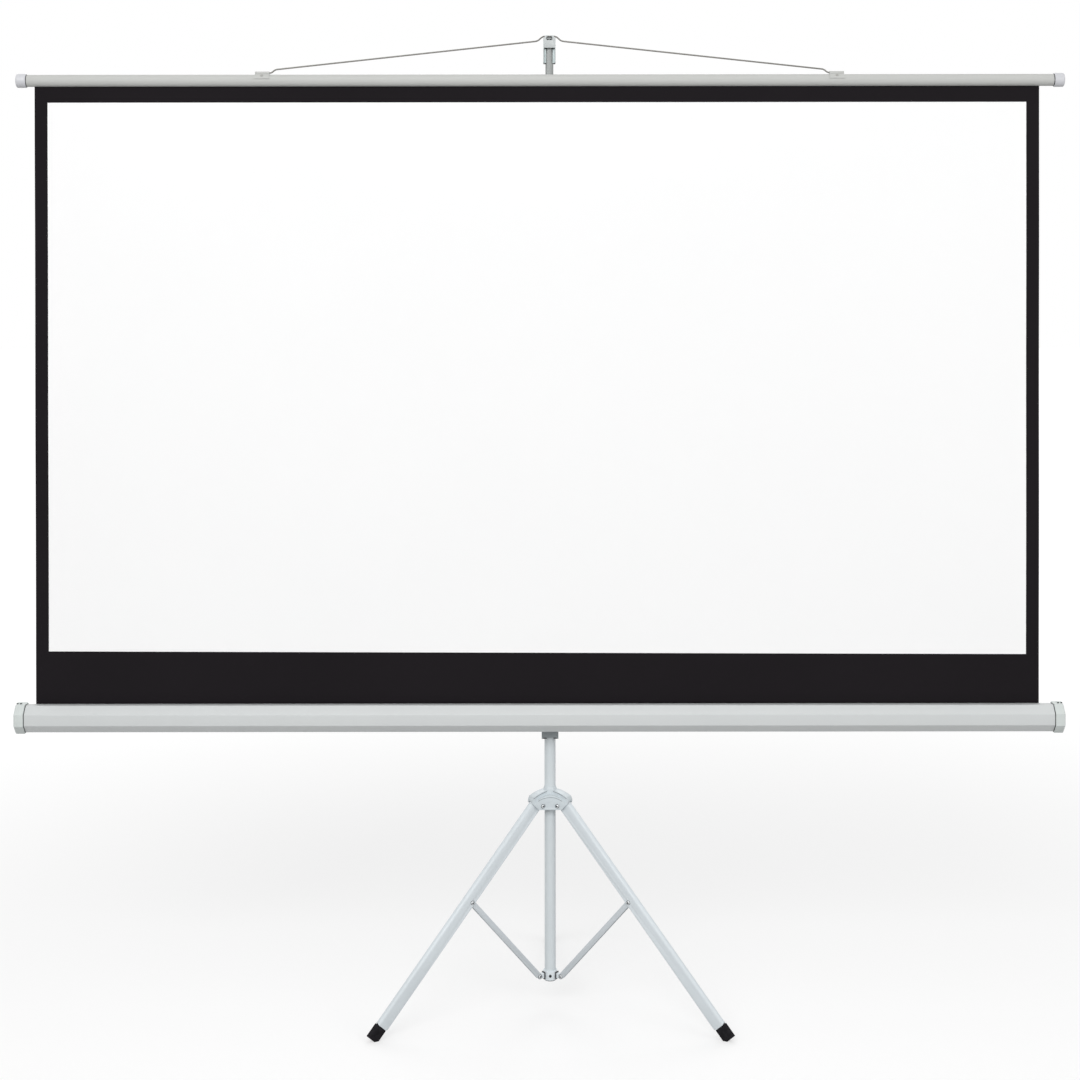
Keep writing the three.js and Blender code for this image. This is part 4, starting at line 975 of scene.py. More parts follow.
class RivetTree(SharedTree):
    """Instances a small head on every point of a mesh, turned to each point's outward vector."""

    label: str = "heads_on_points"
    way: str = "outward"

    @classmethod
    def draw(cls) -> bpy.types.NodeTree:
        """Puts the head on the points."""
        sketch = TreeSketch(cls.label, {"Head": "Object"})
        info = sketch.add("GeometryNodeObjectInfo")
        way = sketch.add("GeometryNodeInputNamedAttribute", {"Name": cls.way}, data_type="FLOAT_VECTOR")
        turn = sketch.add("FunctionNodeAlignRotationToVector", axis="Z")
        points = sketch.add("GeometryNodeInstanceOnPoints")
        sketch.wire(
            (sketch.start, "Head", info, "Object"),
            (way, "Attribute", turn, "Vector"),
            (sketch.start, "Geometry", points, "Points"),
            (info, "Geometry", points, "Instance"),
            (turn, "Rotation", points, "Rotation"),
        )
        return sketch.close(points, "Instances")

    @classmethod
    def run(cls, name: str, sites: Sequence[RivetSite], head: Piece, finish: Finish) -> Piece:
        """Puts a head on each site.

        Args:
            name: The piece's name.
            sites: Where the heads sit.
            head: The head, drawn at the origin and pointing up. It isn't used up.
            finish: What the heads are finished with.

        Returns:
            All heads as one plain mesh.
        """
        piece = Workshop.from_data(name, [s.point for s in sites], [], None)
        layer = piece.data.attributes.new(cls.way, "FLOAT_VECTOR", "POINT")
        layer.data.foreach_set("vector", [c for s in sites for c in s.outward])
        cls.apply(piece, {"Head": head, "Finish": finish.material()})
        layers = piece.data.attributes
        if cls.way in layers:
            layers.remove(layers[cls.way])
        return Workshop.smooth(piece, 34.0)


# Shared parts of the assemblies.


def middle(node: str) -> Vector:
    """The middle of a node's box."""
    low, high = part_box(node)
    return (low + high) / 2


MAST_AXIS = middle("mast_tube")
COLLAR_PIVOT = 69.5 * MM
LINK = 262.4 * MM
LEAN = math.radians(41.7)
PIVOT_REACH = 30.0 * MM
HUB_PIVOT = COLLAR_PIVOT + 2 * LINK * math.cos(LEAN)


class Assembly(ABC):
    """A sub-assembly that builds its pieces and hands each to its body."""

    @abstractmethod
    def build(self) -> None:
        """Builds, dresses and hands over every piece."""

    @staticmethod
    def hand_over(piece: Piece, body: str, slot: str, *nodes: str) -> Piece:
        """Makes a piece ride on its body in place of model nodes.

        Args:
            piece: The finished piece.
            body: The body it moves with.
            slot: The record's material slot; not used.
            *nodes: The nodes it stands for.

        Returns:
            The same piece.
        """
        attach(piece, body)
        if nodes:
            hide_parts(*nodes)
        LOG.info("%s rides on %s, %d faces", piece.name, body, len(piece.data.polygons))
        return piece

    def round_off(
        self,
        node: str,
        suffix: str,
        finish: Finish,
        body: str,
        slot: str,
        width: float,
        segments: int = 2,
        extras: Iterable[Piece] = (),
    ) -> None:
        """Hands over a copy of a model node with its edges rounded.

        Args:
            node: The model's node.
            suffix: What the piece's name has after the node's.
            finish: What it is finished with.
            body: The body it moves with.
            slot: The record's material slot.
            width: Rounding in metres.
            segments: Steps round an edge.
            extras: Small pieces that join its mesh.
        """
        piece = Workshop.refined(node, node + suffix, finish, width, segments)
        self.hand_over(Workshop.gather(piece, *extras), body, slot, node)


class Heads:
    """The small heads that the rivet tree puts on points, each drawn at the origin and pointing up."""

    radius: float = 4.3 * MM
    height: float = 2.0 * MM
    sunk: float = 0.2 * MM
    lip: float = 0.15 * MM
    # The dark ring of painted shade round each head, and the dark floor of painted shade in its hollow.
    washer_radius: float = 4.9 * MM
    washer_sunk: float = 0.25 * MM
    washer_rise: float = 0.1 * MM
    hollow_radius: float = 1.9 * MM
    _made: dict[str, Piece] = {}

    @classmethod
    def rivet(cls) -> Piece:
        """A domed rivet head with a dimple in its middle."""
        radius, height, dome = cls.radius, cls.height, cls.height - cls.lip
        profile = [(0.0, -cls.sunk), (radius * 0.94, -cls.sunk), (radius, cls.lip)]
        profile += [(radius * math.cos(a), cls.lip + dome * math.sin(a)) for a in (0.35, 0.7, 1.0, 1.2)]
        profile += [(radius * 0.27, height * 0.97), (radius * 0.2, height * 0.6), (0.0, height * 0.5)]
        return cls._keep("rivet_head", profile)

    @classmethod
    def washer(cls) -> Piece:
        """A thin dark ring round a rivet's head: painted shade where the head meets the plate."""
        return cls._disc("rivet_washer", cls.washer_radius, -cls.washer_sunk, cls.washer_rise)

    @classmethod
    def hollow(cls) -> Piece:
        """The dark floor of a rivet's hollow middle: painted shade in the hollow."""
        return cls._disc("rivet_hollow", cls.hollow_radius, cls.height * 0.6, cls.height * 1.02)

    @classmethod
    def _disc(cls, name: str, radius: float, low: float, high: float) -> Piece:
        """A flat disc."""
        return cls._keep(name, [(0.0, low), (radius, low), (radius, high), (0.0, high)])

    @classmethod
    def _keep(cls, name: str, profile: Sequence[Point2]) -> Piece:
        """A head that is made once and used again."""
        if name not in cls._made:
            cls._made[name] = Workshop.revolve(name, profile, Axis.Z, (0.0, 0.0, 0.0), RIVET_STEEL, 20)
        return cls._made[name]

    @classmethod
    def clear(cls) -> None:
        """Removes the heads once every tree has run."""
        for head in cls._made.values():
            bpy.data.objects.remove(head)
        cls._made.clear()


def cross_screw(
    name: str, centre: Sequence[float], way: Vector, radius: float, height: float, finish: Finish
) -> Piece:
    """A pan-head screw with a cross recess.

    Args:
        name: The piece's name.
        centre: The middle of the head's underside.
        way: The way the head points.
        radius: The head's radius.
        height: The head's height.
        finish: Its finish.

    Returns:
        The screw with a short shank.
    """
    shank, end = radius * 0.5, -3.0 * MM
    profile = [(0.0, end), (shank, end), (shank, 0.0), (radius, 0.0), (radius, height * 0.45)]
    profile += [(radius * 0.93, height * 0.78), (radius * 0.7, height * 0.97), (0.0, height)]
    head = Workshop.revolve(name, profile, Axis.Z, (0.0, 0.0, 0.0), finish, 32)
    slot, reach, depth = radius * 0.13, radius * 0.55, height * 0.5
    bars = ((reach, slot), (slot, reach))
    cuts = [Workshop.block("cut", (-x, -y, depth), (x, y, height * 2), finish) for x, y in bars]
    Workshop.combine(head, Blend.CUT, *cuts)
    turn = Vector((0, 0, 1)).rotation_difference(way.normalized()).to_matrix().to_4x4()
    Workshop.move(head, Matrix.Translation(centre) @ turn)
    return Workshop.smooth(head, 34.0)


def on_leg_plane(piece: Piece, turn: float, height: float) -> Piece:
    """Carries a piece that is drawn about the origin to the mast's axis.

    Args:
        piece: The piece, drawn with the leg along +X.
        turn: The leg's direction in radians.
        height: The height that its origin goes to.

    Returns:
        The same piece.
    """
    place = Matrix.Translation((MAST_AXIS.x, MAST_AXIS.y, height))
    return Workshop.move(piece, place @ Matrix.Rotation(turn, 4, "Z"))


@dataclass
class ScreenSheet(Assembly):
    """The projection sheet: white inside a black border, black behind, the rest wound on the roller."""

    width: float = 2268.0 * MM
    thickness: float = 0.5 * MM
    side_border: float = 29.2 * MM
    band_slant: float = 8.4 * MM
    top_border: float = 36.0 * MM
    bottom_border: float = 110.0 * MM
    columns: int = 90
    rows: int = 64
    lip: float = 2.0 * MM
    lean: float = 0.8 * MM
    wound_radius: float = 19.4 * MM
    core_radius: float = 17.4 * MM
    wound_turns: float = 3.4
    wound_start: float = math.radians(17)
    turn_steps: int = 40
    ripple: float = 0.7 * MM
    inside_share: float = 0.35
    inside_pitch: Point2 = (7.1, 2.3)
    edge_share: float = 1.2
    edge_pitch: float = 9.0
    pull: float = 0.63

    def build(self) -> None:
        """Builds the flat sheet and the turns on the roller."""
        self.stretched_sheet()
        self.wound_turns_piece()

    def path(self) -> list[Point2]:
        """The sheet's line from the roll to the top tube, as Y and Z.

        Returns:
            Points from bottom to top.
        """
        low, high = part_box("screen_sheet")
        roll = middle("wound_sheet")
        case_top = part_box("case_housing")[1].z
        y = (low.y + high.y) / 2
        over = Vector((y - roll.y, case_top - roll.z))
        touch = math.atan2(over.y, over.x) - math.acos(self.wound_radius / over.length)
        start = Vector(
            (roll.y + self.wound_radius * math.cos(touch), roll.z + self.wound_radius * math.sin(touch))
        )
        points = [(start.x, start.y), ((start.x + y) / 2, (start.y + case_top - self.lip) / 2)]
        bottom = case_top + self.lip
        points += [(y + self.lean, case_top - 1.5 * self.lip), (y, bottom)]
        return points + [(y, bottom + (high.z - bottom) * i / self.rows) for i in range(1, self.rows + 1)]

    def stretched_sheet(self) -> None:
        """The sheet between roll and top tube, with its border as its own faces."""
        line = self.path()
        case_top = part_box("case_housing")[1].z
        top_line = round(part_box("top_tube")[0].z - self.top_border, 6)
        bottom_line = round(case_top + self.bottom_border, 6)
        rows = {round(z, 6) for _, z in line if not 0 < z - bottom_line < 2 * self.band_slant}
        heights = sorted(rows | {top_line, bottom_line})
        y_at = self._interpolate(line)
        half = self.width / 2
        inner = half - self.side_border
        widths = [-half, -half + self.side_border / 2, -inner]
        widths += [-inner + 2 * inner * i / self.columns for i in range(1, self.columns)]
        widths += [inner, half - self.side_border / 2, half]
        centre = middle("screen_sheet").x
        points = []
        for side in (-1, 1):
            for z in heights:
                for x in widths:
                    wave = self._wave(x, z, heights[0], heights[-1])
                    rise = self.band_slant * (half - x) / self.width if z == bottom_line else 0.0
                    points.append((centre + x, y_at(z) + wave + side * self.thickness / 2, z + rise))
        columns = [abs(a + b) / 2 < inner for a, b in zip(widths, widths[1:])]
        bands = [bottom_line < (a + b) / 2 < top_line for a, b in zip(heights, heights[1:])]
        faces, finishes = self._faces(columns, bands)
        piece = Workshop.from_data("screen_sheet_cloth", points, faces, SHEET_WHITE)
        for finish in (SHEET_BORDER, SHEET_BACK):
            piece.data.materials.append(finish.material())
        piece.data.polygons.foreach_set("material_index", finishes)
        self._unroll(piece, centre, heights[0])
        Workshop.smooth(piece, 50.0)
        self.hand_over(piece, "carriage", "sheet_fabric", "screen_sheet")
        length = sum(math.dist(a, b) for a, b in zip(line, line[1:]))
        slot = (centre, y_at(case_top), case_top)
        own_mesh(piece)

    @staticmethod
    def _faces(columns: Sequence[bool], bands: Sequence[bool]) -> tuple[list[Face], list[int]]:
        """The faces of a thin slab of two layers of points, and the finish of each.

        Args:
            columns: For each column from left to right, whether it is inside the border.
            bands: For each row from bottom to top, whether it is inside the border.

        Returns:
            The faces, and 0 for white, 1 for the border and 2 for the back.
        """
        count, height = len(columns) + 1, len(bands) + 1
        layer = count * height
        faces: list[Face] = []
        finishes: list[int] = []
        for row, in_band in enumerate(bands):
            for column, in_column in enumerate(columns):
                a = row * count + column
                b = a + layer
                faces += [(a, a + 1, a + 1 + count, a + count), (b, b + count, b + 1 + count, b + 1)]
                finishes += [0 if in_band and in_column else 1, 2]
        rim = [*range(count), *(r * count + count - 1 for r in range(1, height))]
        rim += [(height - 1) * count + c for c in range(count - 2, -1, -1)]
        rim += [r * count for r in range(height - 2, 0, -1)]
        for a, b in zip(rim, [*rim[1:], rim[0]]):
            faces.append((b, a, a + layer, b + layer))
            finishes.append(1)
        return faces, finishes

    @staticmethod
    def _interpolate(line: Sequence[Point2]) -> Callable[[float], float]:
        """A function that gives the line's Y at a height."""

        def y_at(z: float) -> float:
            """The line's Y at z."""
            for (y0, z0), (y1, z1) in zip(line, line[1:]):
                if z <= z1:
                    return y0 + (y1 - y0) * max(0.0, z - z0) / (z1 - z0)
            return line[-1][0]

        return y_at

    def _wave(self, x: float, z: float, low: float, high: float) -> float:
        """A slight ripple that dies out at the roll and at the top tube."""
        along = (z - low) / (high - low)
        hold = math.sin(math.pi * min(1.0, max(0.0, along))) ** 0.5
        edge = (abs(x) / (self.width / 2)) ** 6
        inside = self.inside_share * math.sin(x * self.inside_pitch[0] + z * self.inside_pitch[1])
        return self.ripple * hold * (inside + edge * math.sin(z * self.edge_pitch + x) * self.edge_share)

    @staticmethod
    def _unroll(piece: Piece, centre: float, low: float) -> None:
        """Gives the sheet a UV map in metres."""
        layer = piece.data.uv_layers.new(name="cloth")
        for loop in piece.data.loops:
            point = piece.data.vertices[loop.vertex_index].co
            layer.data[loop.index].uv = (point.x - centre, point.z - low)

    def wound_turns_piece(self) -> None:
        """The turns left on the roller, a spiral strip whose ends show."""
        roll = middle("wound_sheet")
        low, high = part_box("wound_sheet")
        steps = int(self.wound_turns * self.turn_steps)
        points = []
        for x in (low.x, high.x):
            for inset in (self.thickness, 0):
                for t in (i / steps for i in range(steps + 1)):
                    angle = 2 * math.pi * self.wound_turns * t + self.wound_start
                    radius = self.wound_radius - (self.wound_radius - self.core_radius) * t - inset
                    y, z = radius * math.cos(angle), radius * math.sin(angle)
                    points.append((x, roll.y + y, roll.z + z))
        n = steps + 1
        strips = [(0, 1, n + 1, n), (2 * n, 3 * n, 3 * n + 1, 2 * n + 1)]
        strips += [(0, 2 * n, 2 * n + 1, 1), (n, n + 1, 3 * n + 1, 3 * n)]
        faces = [tuple(corner + i for corner in strip) for i in range(steps) for strip in strips]
        faces += [(0, n, 3 * n, 2 * n), (steps, 2 * n + steps, 3 * n + steps, n + steps)]
        piece = Workshop.weld(Workshop.from_data("wound_sheet_turns", points, faces, SHEET_BACK))
        Workshop.smooth(piece, 50.0)
        self.hand_over(piece, "roller", "sheet_fabric", "wound_sheet")


@dataclass
class RollerCase(Assembly):
    """The octagonal case with its caps, roller, arbor and spring."""

    across: float = 60.0 * MM
    wall: float = 1.6 * MM
    slot: float = 7.0 * MM
    corner: float = 1.2 * MM
    soft: float = 0.3 * MM
    past: float = 10.0 * MM
    bolt_radius: float = 4.3 * MM
    bolt_reach: float = 100.0 * MM
    cap_bevel: float = 2.6 * MM
    cap_corner: float = 1.0 * MM
    cap_soft: float = 0.5 * MM
    cap_ease: float = 0.2 * MM
    cap_rim: float = 4.0 * MM
    cap_recess: float = 1.2 * MM
    cap_screw: Point2 = (4.2 * MM, 1.1 * MM)
    play: float = 0.3 * MM
    spigot_wall: float = 2.5 * MM
    overlap: float = 2.0 * MM
    room_reach: float = 8.0 * MM
    bearing: float = 3.5 * MM
    spring_bearing: float = 3.0 * MM
    boss_wall: float = 3.6 * MM
    boss_span: Point2 = (-7.0 * MM, 9.5 * MM)
    seam: float = 1.5 * MM
    # The dark ring of painted shade in the gap between case and cap.
    seam_across: float = 60.8 * MM
    seam_core: float = 52.0 * MM
    seam_past: float = 0.4 * MM
    lug_length: float = 12.0 * MM
    lug_depth: float = 8.0 * MM
    lug_inset: float = 8.0 * MM
    lug_rise: float = 3.4 * MM
    lug_slot: float = 4.2 * MM
    lug_front: float = 11.0 * MM
    lug_proud: float = 0.15 * MM
    roller_outer: float = 17.0 * MM
    roller_inner: float = 16.0 * MM
    plug_edge: float = 0.5 * MM
    arbor_edge: float = 0.4 * MM
    spring_turns: int = 34
    spring_steps: int = 16
    spring_wire: float = 0.8 * MM
    spring_radius: float = 10.0 * MM
    centre: Vector = field(default_factory=lambda: middle("case_housing"))

    def build(self) -> None:
        """Builds the outside first, then what turns inside."""
        self.housing()
        for side in Side:
            self.end_cap(side)
        self.roller()
        self.spring()

    def slot_cutter(self, span: Sequence[float], finish: Finish) -> Piece:
        """The block that opens the slot in the case's top.

        Args:
            span: Its ends along X.
            finish: What it is finished with.

        Returns:
            The cutter.
        """
        y, top = middle("screen_sheet").y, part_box("case_housing")[1].z + self.past
        low, high = sorted(span)
        return Workshop.block(
            "cut_slot", (low, y - self.slot / 2, self.centre.z), (high, y + self.slot / 2, top), finish
        )

    def housing(self) -> None:
        """The tube: a rounded octagonal outline run along X, with the slot and a bolt hole cut out."""
        low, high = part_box("case_housing")
        centre = (self.centre.y, self.centre.z)
        outer = rounded(octagon(self.across, centre), self.corner)
        inner = rounded(octagon(self.across - 2 * self.wall, centre), self.corner * 0.6)
        past = (low.x - self.past, high.x + self.past)
        body = Workshop.prism("case_housing_skin", outer, Axis.X, (low.x, high.x), CASE_PAINT)
        hollow = Workshop.prism("cut_hollow", inner, Axis.X, past, CASE_PAINT)
        bolt = [(0, 0), (self.bolt_radius, 0), (self.bolt_radius, self.bolt_reach), (0, self.bolt_reach)]
        hole = Workshop.revolve("cut_bolt", bolt, Axis.Y, (MAST_AXIS.x, *centre), CASE_PAINT, 24)
        Workshop.combine(body, Blend.CUT, hollow, self.slot_cutter(past, CASE_PAINT), hole)
        Workshop.bevel(body, self.soft, degrees=50.0)
        self.hand_over(body, "carriage", "case_paint", "case_housing")

    def end_cap(self, side: Side) -> None:
        """One moulded cap: bevelled rim, recessed face, bearing boss and a small lug on top.

        Args:
            side: The end it closes.
        """
        node = "case_end_cap_" + side.label
        low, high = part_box(node)
        out = side.value
        face, spigot_end = side.outer((low, high)), side.inner((low, high))
        edge = side.outer(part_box("case_housing"))
        centre = ((low.y + high.y) / 2, (low.z + high.z) / 2)
        rim = edge + out * self.seam
        bevel = self.cap_bevel
        flat = bevel + self.cap_rim
        plan = [
            (self.cap_soft, rim), (0.0, rim + out * self.cap_soft), (0.0, face - out * bevel),
            (self.cap_ease, face - out * bevel * 0.8), (bevel * 0.8, face - out * self.cap_ease),
            (bevel, face), (flat, face), (flat + 1 * MM, face - out * self.cap_recess),
        ]
        rings = []
        for inset, x in plan:
            outline = rounded(octagon(high.z - low.z - 2 * inset, centre), self.cap_corner)
            rings.append([(x, y, z) for y, z in outline])
        cap = Workshop.loft(f"end_cap_{side.label}_moulding", rings, CAP_PLASTIC)
        across = self.across - 2 * (self.wall + self.play)
        outline = rounded(octagon(across, centre), self.corner)
        spigot = Workshop.prism(
            "spigot", outline, Axis.X, (spigot_end, edge + out * self.overlap), CAP_PLASTIC
        )
        past = spigot_end - out * self.past / 2
        outline = rounded(octagon(across - 2 * self.spigot_wall, centre), self.corner)
        room = Workshop.prism("cut_room", outline, Axis.X, (past, edge + out * self.room_reach), CAP_PLASTIC)
        Workshop.combine(cap, Blend.JOIN, spigot)
        Workshop.combine(cap, Blend.CUT, room, self.slot_cutter((past, edge), CAP_PLASTIC))
        Workshop.bevel(cap, self.soft, degrees=40.0)
        place = (face - out * self.cap_recess, *centre)
        screw = cross_screw("cap_screw", place, Vector((out, 0, 0)), *self.cap_screw, RIVET_STEEL)
        boss, seam = self.boss(side, edge, centre), self.cap_seam(out, edge, rim, centre)
        Workshop.gather(cap, boss, screw, seam, *self.lug(out, face, high.z))
        self.hand_over(cap, "carriage", "cap_plastic", node)

    def boss(self, side: Side, edge: float, centre: Point2) -> Piece:
        """The round boss in a cap that the roller's shaft turns in.

        Args:
            side: The end.
            edge: The X of the case's end.
            centre: The cap's middle, as Y and Z.

        Returns:
            The boss.
        """
        bearing = self.spring_bearing if side is Side.LEFT else self.bearing
        inner, outer = bearing + self.play, bearing + self.boss_wall
        start, end = sorted(edge + side.value * x for x in self.boss_span)
        profile = [(inner, start), (outer, start), (outer, end), (inner, end)]
        return Workshop.revolve("boss", profile, Axis.X, (0.0, *centre), CAP_PLASTIC, 32)

    def cap_seam(self, out: int, edge: float, rim: float, centre: Point2) -> Piece:
        """The dark ring in the gap between the case and a cap, painted shade in that gap.

        Args:
            out: -1 for the left end, 1 for the right.
            edge: The X of the case's end.
            rim: The X of the cap's rim.
            centre: The cap's middle, as Y and Z.

        Returns:
            The ring.
        """
        start, end = sorted((edge + out * self.play, rim + out * self.seam_past))
        seam = Workshop.prism("seam", octagon(self.seam_across, centre), Axis.X, (start, end), PAINTED_RECESS_SHADE)
        span = (start - 1 * MM, end + 1 * MM)
        core = Workshop.prism("cut_core", octagon(self.seam_core, centre), Axis.X, span, PAINTED_RECESS_SHADE)
        return Workshop.combine(seam, Blend.CUT, core)

    def lug(self, out: int, face: float, top: float) -> list[Piece]:
        """The small moulded lug on a cap's top facet, with two dark blocks on its front as painted shade of
        its slots.

        Args:
            out: -1 for the left end, 1 for the right.
            face: The X of the cap's outer face.
            top: The cap's highest point.

        Returns:
            The lug and the two dark blocks of painted shade.
        """
        length, rise, slot = self.lug_length, self.lug_rise, self.lug_slot
        x = face - out * self.lug_inset
        front = self.centre.y - self.lug_front
        half = [(length * 0.3, rise), (length * 0.42, rise * 0.8), (length * 0.5, -1 * MM)]
        arch = [(x - a, top + b) for a, b in half] + [(x + a, top + b) for a, b in reversed(half)]
        body = Workshop.prism("lug", arch, Axis.Y, (front, front + self.lug_depth), CAP_PLASTIC)
        pieces = [Workshop.bevel(body, self.soft, degrees=40.0)]
        near, far = front - self.lug_proud, front + 1 * MM
        # Painted shade: two dark blocks just proud of the lug's front stand in for its slots.
        for start in (x - slot * 1.35, x + slot * 0.35):
            low, high = (start, near, top + rise * 0.1), (start + slot, far, top + rise * 0.8)
            pieces.append(Workshop.block("lug_slot", low, high, PAINTED_RECESS_SHADE))
        return pieces

    def roller(self) -> None:
        """The roller's tube, its two plugs and the arbor."""
        low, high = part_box("roller_tube")
        inner, outer = self.roller_inner, self.roller_outer
        profile = [(inner, low.x), (outer, low.x), (outer, high.x), (inner, high.x)]
        centre = (0.0, self.centre.y, self.centre.z)
        tube = Workshop.revolve("roller_tube_rolled", profile, Axis.X, centre, ROLLER_STEEL)
        self.hand_over(tube, "roller", "roller_steel", "roller_tube")
        for node in ("roller_spring_plug", "roller_idler_plug"):
            self.round_off(node, "_moulding", BLACK_PLASTIC, "roller", "black_plastic", self.plug_edge)
        self.round_off("spring_arbor", "_turned", ROLLER_STEEL, "carriage", "roller_steel", self.arbor_edge)

    def spring(self) -> None:
        """The coil round the arbor, swept along a helix."""
        low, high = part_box("roller_spring")
        start, length = low.x + self.spring_wire, high.x - low.x - 2 * self.spring_wire
        steps = self.spring_turns * self.spring_steps
        path = []
        for share in (i / steps for i in range(steps + 1)):
            angle = 2 * math.pi * self.spring_turns * share
            y, z = self.spring_radius * math.cos(angle), self.spring_radius * math.sin(angle)
            path.append((start + length * share, self.centre.y + y, self.centre.z + z))
        coil = WireTree.run("roller_spring_coil", path, self.spring_wire, ROLLER_STEEL)
        self.hand_over(coil, "carriage", "roller_steel", "roller_spring")


@dataclass
class TopBar(Assembly):
    """The top tube with its caps, brackets, screws and the wire bail."""

    radius: float = 13.5 * MM
    wall: float = 1.4 * MM
    slot: float = 3.0 * MM
    play: float = 0.3 * MM
    edge: float = 0.25 * MM
    strip_edge: float = 0.35 * MM
    round_steps: int = 72
    cap_radius: float = 15.8 * MM
    cap_round: float = 4.0 * MM
    cap_soft: float = 0.4 * MM
    spigot_soft: float = 0.6 * MM
    dimple: float = 0.8 * MM
    groove: float = 0.35 * MM
    groove_span: Point2 = (2.5 * MM, 3.1 * MM)
    groove_soft: float = 0.3 * MM
    seam: float = 1.1 * MM
    screw_seat: float = 2.2 * MM
    screw_radius: float = 3.2 * MM
    screw_height: float = 1.5 * MM
    wire: float = 1.75 * MM
    wire_end: float = 631.5 * MM
    wire_inside: float = 19.0 * MM
    shoulder: float = 12.0 * MM
    shoulder_rise: float = 8.0 * MM
    neck_half: float = 27.0 * MM
    neck_rise: float = 75.0 * MM
    crest_half: float = 15.0 * MM
    centre: Vector = field(default_factory=lambda: middle("top_tube"))

    def build(self) -> None:
        """Builds tube, caps, brackets and bail."""
        self.tube()
        for side in Side:
            self.cap(side)
            self.bracket(side)
        self.bail()

    def tube(self) -> None:
        """The tube: a ring open at the slot underneath, run along X."""
        low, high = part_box("top_tube")
        centre = (self.centre.y, self.centre.z)
        outline: list[Point2] = []
        for radius, way in ((self.radius, 1), (self.radius - self.wall, -1)):
            gap = math.degrees(math.asin(self.slot / 2 / radius))
            outline += arc(centre, radius, -90 + gap, 270 - gap, self.round_steps)[::way]
        body = Workshop.prism("top_tube_drawn", outline, Axis.X, (low.x, high.x), BAR_METAL)
        Workshop.bevel(body, self.edge, degrees=50.0)
        self.hand_over(body, "extension", "tube_metal", "top_tube")

    def cap(self, side: Side) -> None:
        """A moulded cap with a rounded end, a shallow groove and a spigot.

        Args:
            side: The end it closes.
        """
        node = "top_cap_" + side.label
        out, box = side.value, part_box(node)
        end, inner = side.outer(box), side.inner(box)
        edge = side.outer(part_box("top_tube")) + out * self.play
        bore = self.radius - self.wall - self.play
        rim = edge + out * self.seam
        radius, soft = self.cap_radius, self.cap_soft
        profile = [
            (0.0, inner), (bore - self.spigot_soft, inner), (bore, inner + out * 0.8 * MM), (bore, rim)
        ]
        profile += [(radius - soft, rim), (radius, rim + out * soft)]
        start, stop = self.groove_span
        slant, depth = self.groove_soft, self.groove
        groove = ((0.0, start - slant), (depth, start), (depth, stop), (0.0, stop + slant))
        profile += [(radius - inset, edge + out * along) for inset, along in groove]
        end_round = arc((radius - self.cap_round, -self.cap_round), self.cap_round, 0, 90, 8)
        profile += [(reach, end + out * along) for reach, along in end_round]
        profile += [
            (radius * 0.34, end), (radius * 0.3, end - out * 0.6 * MM), (0.0, end - out * self.dimple)
        ]
        centre = (0.0, self.centre.y, self.centre.z)
        cap = Workshop.revolve(f"top_cap_{side.label}_moulding", profile, Axis.X, centre, BAR_CAP_PLASTIC)
        low, high, past = bore - 1 * MM, self.radius + soft, rim + out * self.play
        ring = [(low, edge), (high, edge), (high, past), (low, past)]
        # Painted shade: a dark ring in the gap between the tube and the cap.
        Workshop.gather(cap, Workshop.revolve("seam", ring, Axis.X, centre, PAINTED_RECESS_SHADE))
        self.hand_over(cap, "extension", "cap_plastic", node)

    def bracket(self, side: Side) -> None:
        """A bent strip with its curled eye, and its screw.

        Args:
            side: The half of the tube that it sits on.
        """
        node = "bail_bracket_" + side.label
        self.round_off(node, "_strip", BAR_METAL, "extension", "tube_metal", self.strip_edge)
        node = "bail_screw_" + side.label
        place = middle(node)
        axis = Vector((place.x, self.centre.y, self.centre.z))
        way = Vector((0.0, place.y - axis.y, place.z - axis.z)).normalized()
        seat = axis + way * (self.radius + self.screw_seat)
        screw = cross_screw(node + "_cross", seat, way, self.screw_radius, self.screw_height, SCREW_STEEL)
        self.hand_over(screw, "extension", "wire_steel", node)

    def bail(self) -> None:
        """The wire, swept along the middle line of the model's own bail."""
        low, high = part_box("wire_bail")
        pivot = Vector((0.0, self.centre.y, low.z + self.wire))
        rise = high.z - self.wire - pivot.z
        lean = high.y - self.wire - pivot.y
        start = self.wire_end - self.shoulder
        slope = (self.neck_rise - self.shoulder_rise) / (start - self.neck_half)
        places = (start, start - 2 * self.shoulder, 2 * self.neck_half)
        run = [(x, self.shoulder_rise + (start - x) * slope) for x in places]
        plan = [(self.wire_end + self.wire_inside, 0.0), (self.wire_end - self.shoulder / 3, 0.0), *run]
        plan += [(self.neck_half, self.neck_rise), (self.crest_half, rise), (0.0, rise)]
        half = self._soften(plan)
        path = [(-x, z) for x, z in half] + [(x, z) for x, z in reversed(half[:-1])]
        points = [(MAST_AXIS.x + x, pivot.y + lean * z / rise, pivot.z + z) for x, z in path]
        wire = WireTree.run("wire_bail_bent", points, self.wire, WIRE_STEEL, 14)
        self.hand_over(wire, "bail", "wire_steel", "wire_bail")

    @staticmethod
    def _soften(plan: Sequence[Point2], cut: float = 6.0 * MM, steps: int = 5) -> list[Point2]:
        """Rounds each corner of an open line.

        Args:
            plan: Its corners.
            cut: How far from a corner the rounding starts at most.
            steps: Steps round a corner.

        Returns:
            The softened line.
        """
        points = [plan[0]]
        for before, here, after in zip(plan, plan[1:], plan[2:]):
            corner = Vector(here)
            sides = [Vector(other) - corner for other in (before, after)]
            reach = min(cut, *(side.length * 0.45 for side in sides))
            start, end = (corner + side.normalized() * reach for side in sides)
            points += curve(start, corner, end, steps)
        return [*points, plan[-1]]


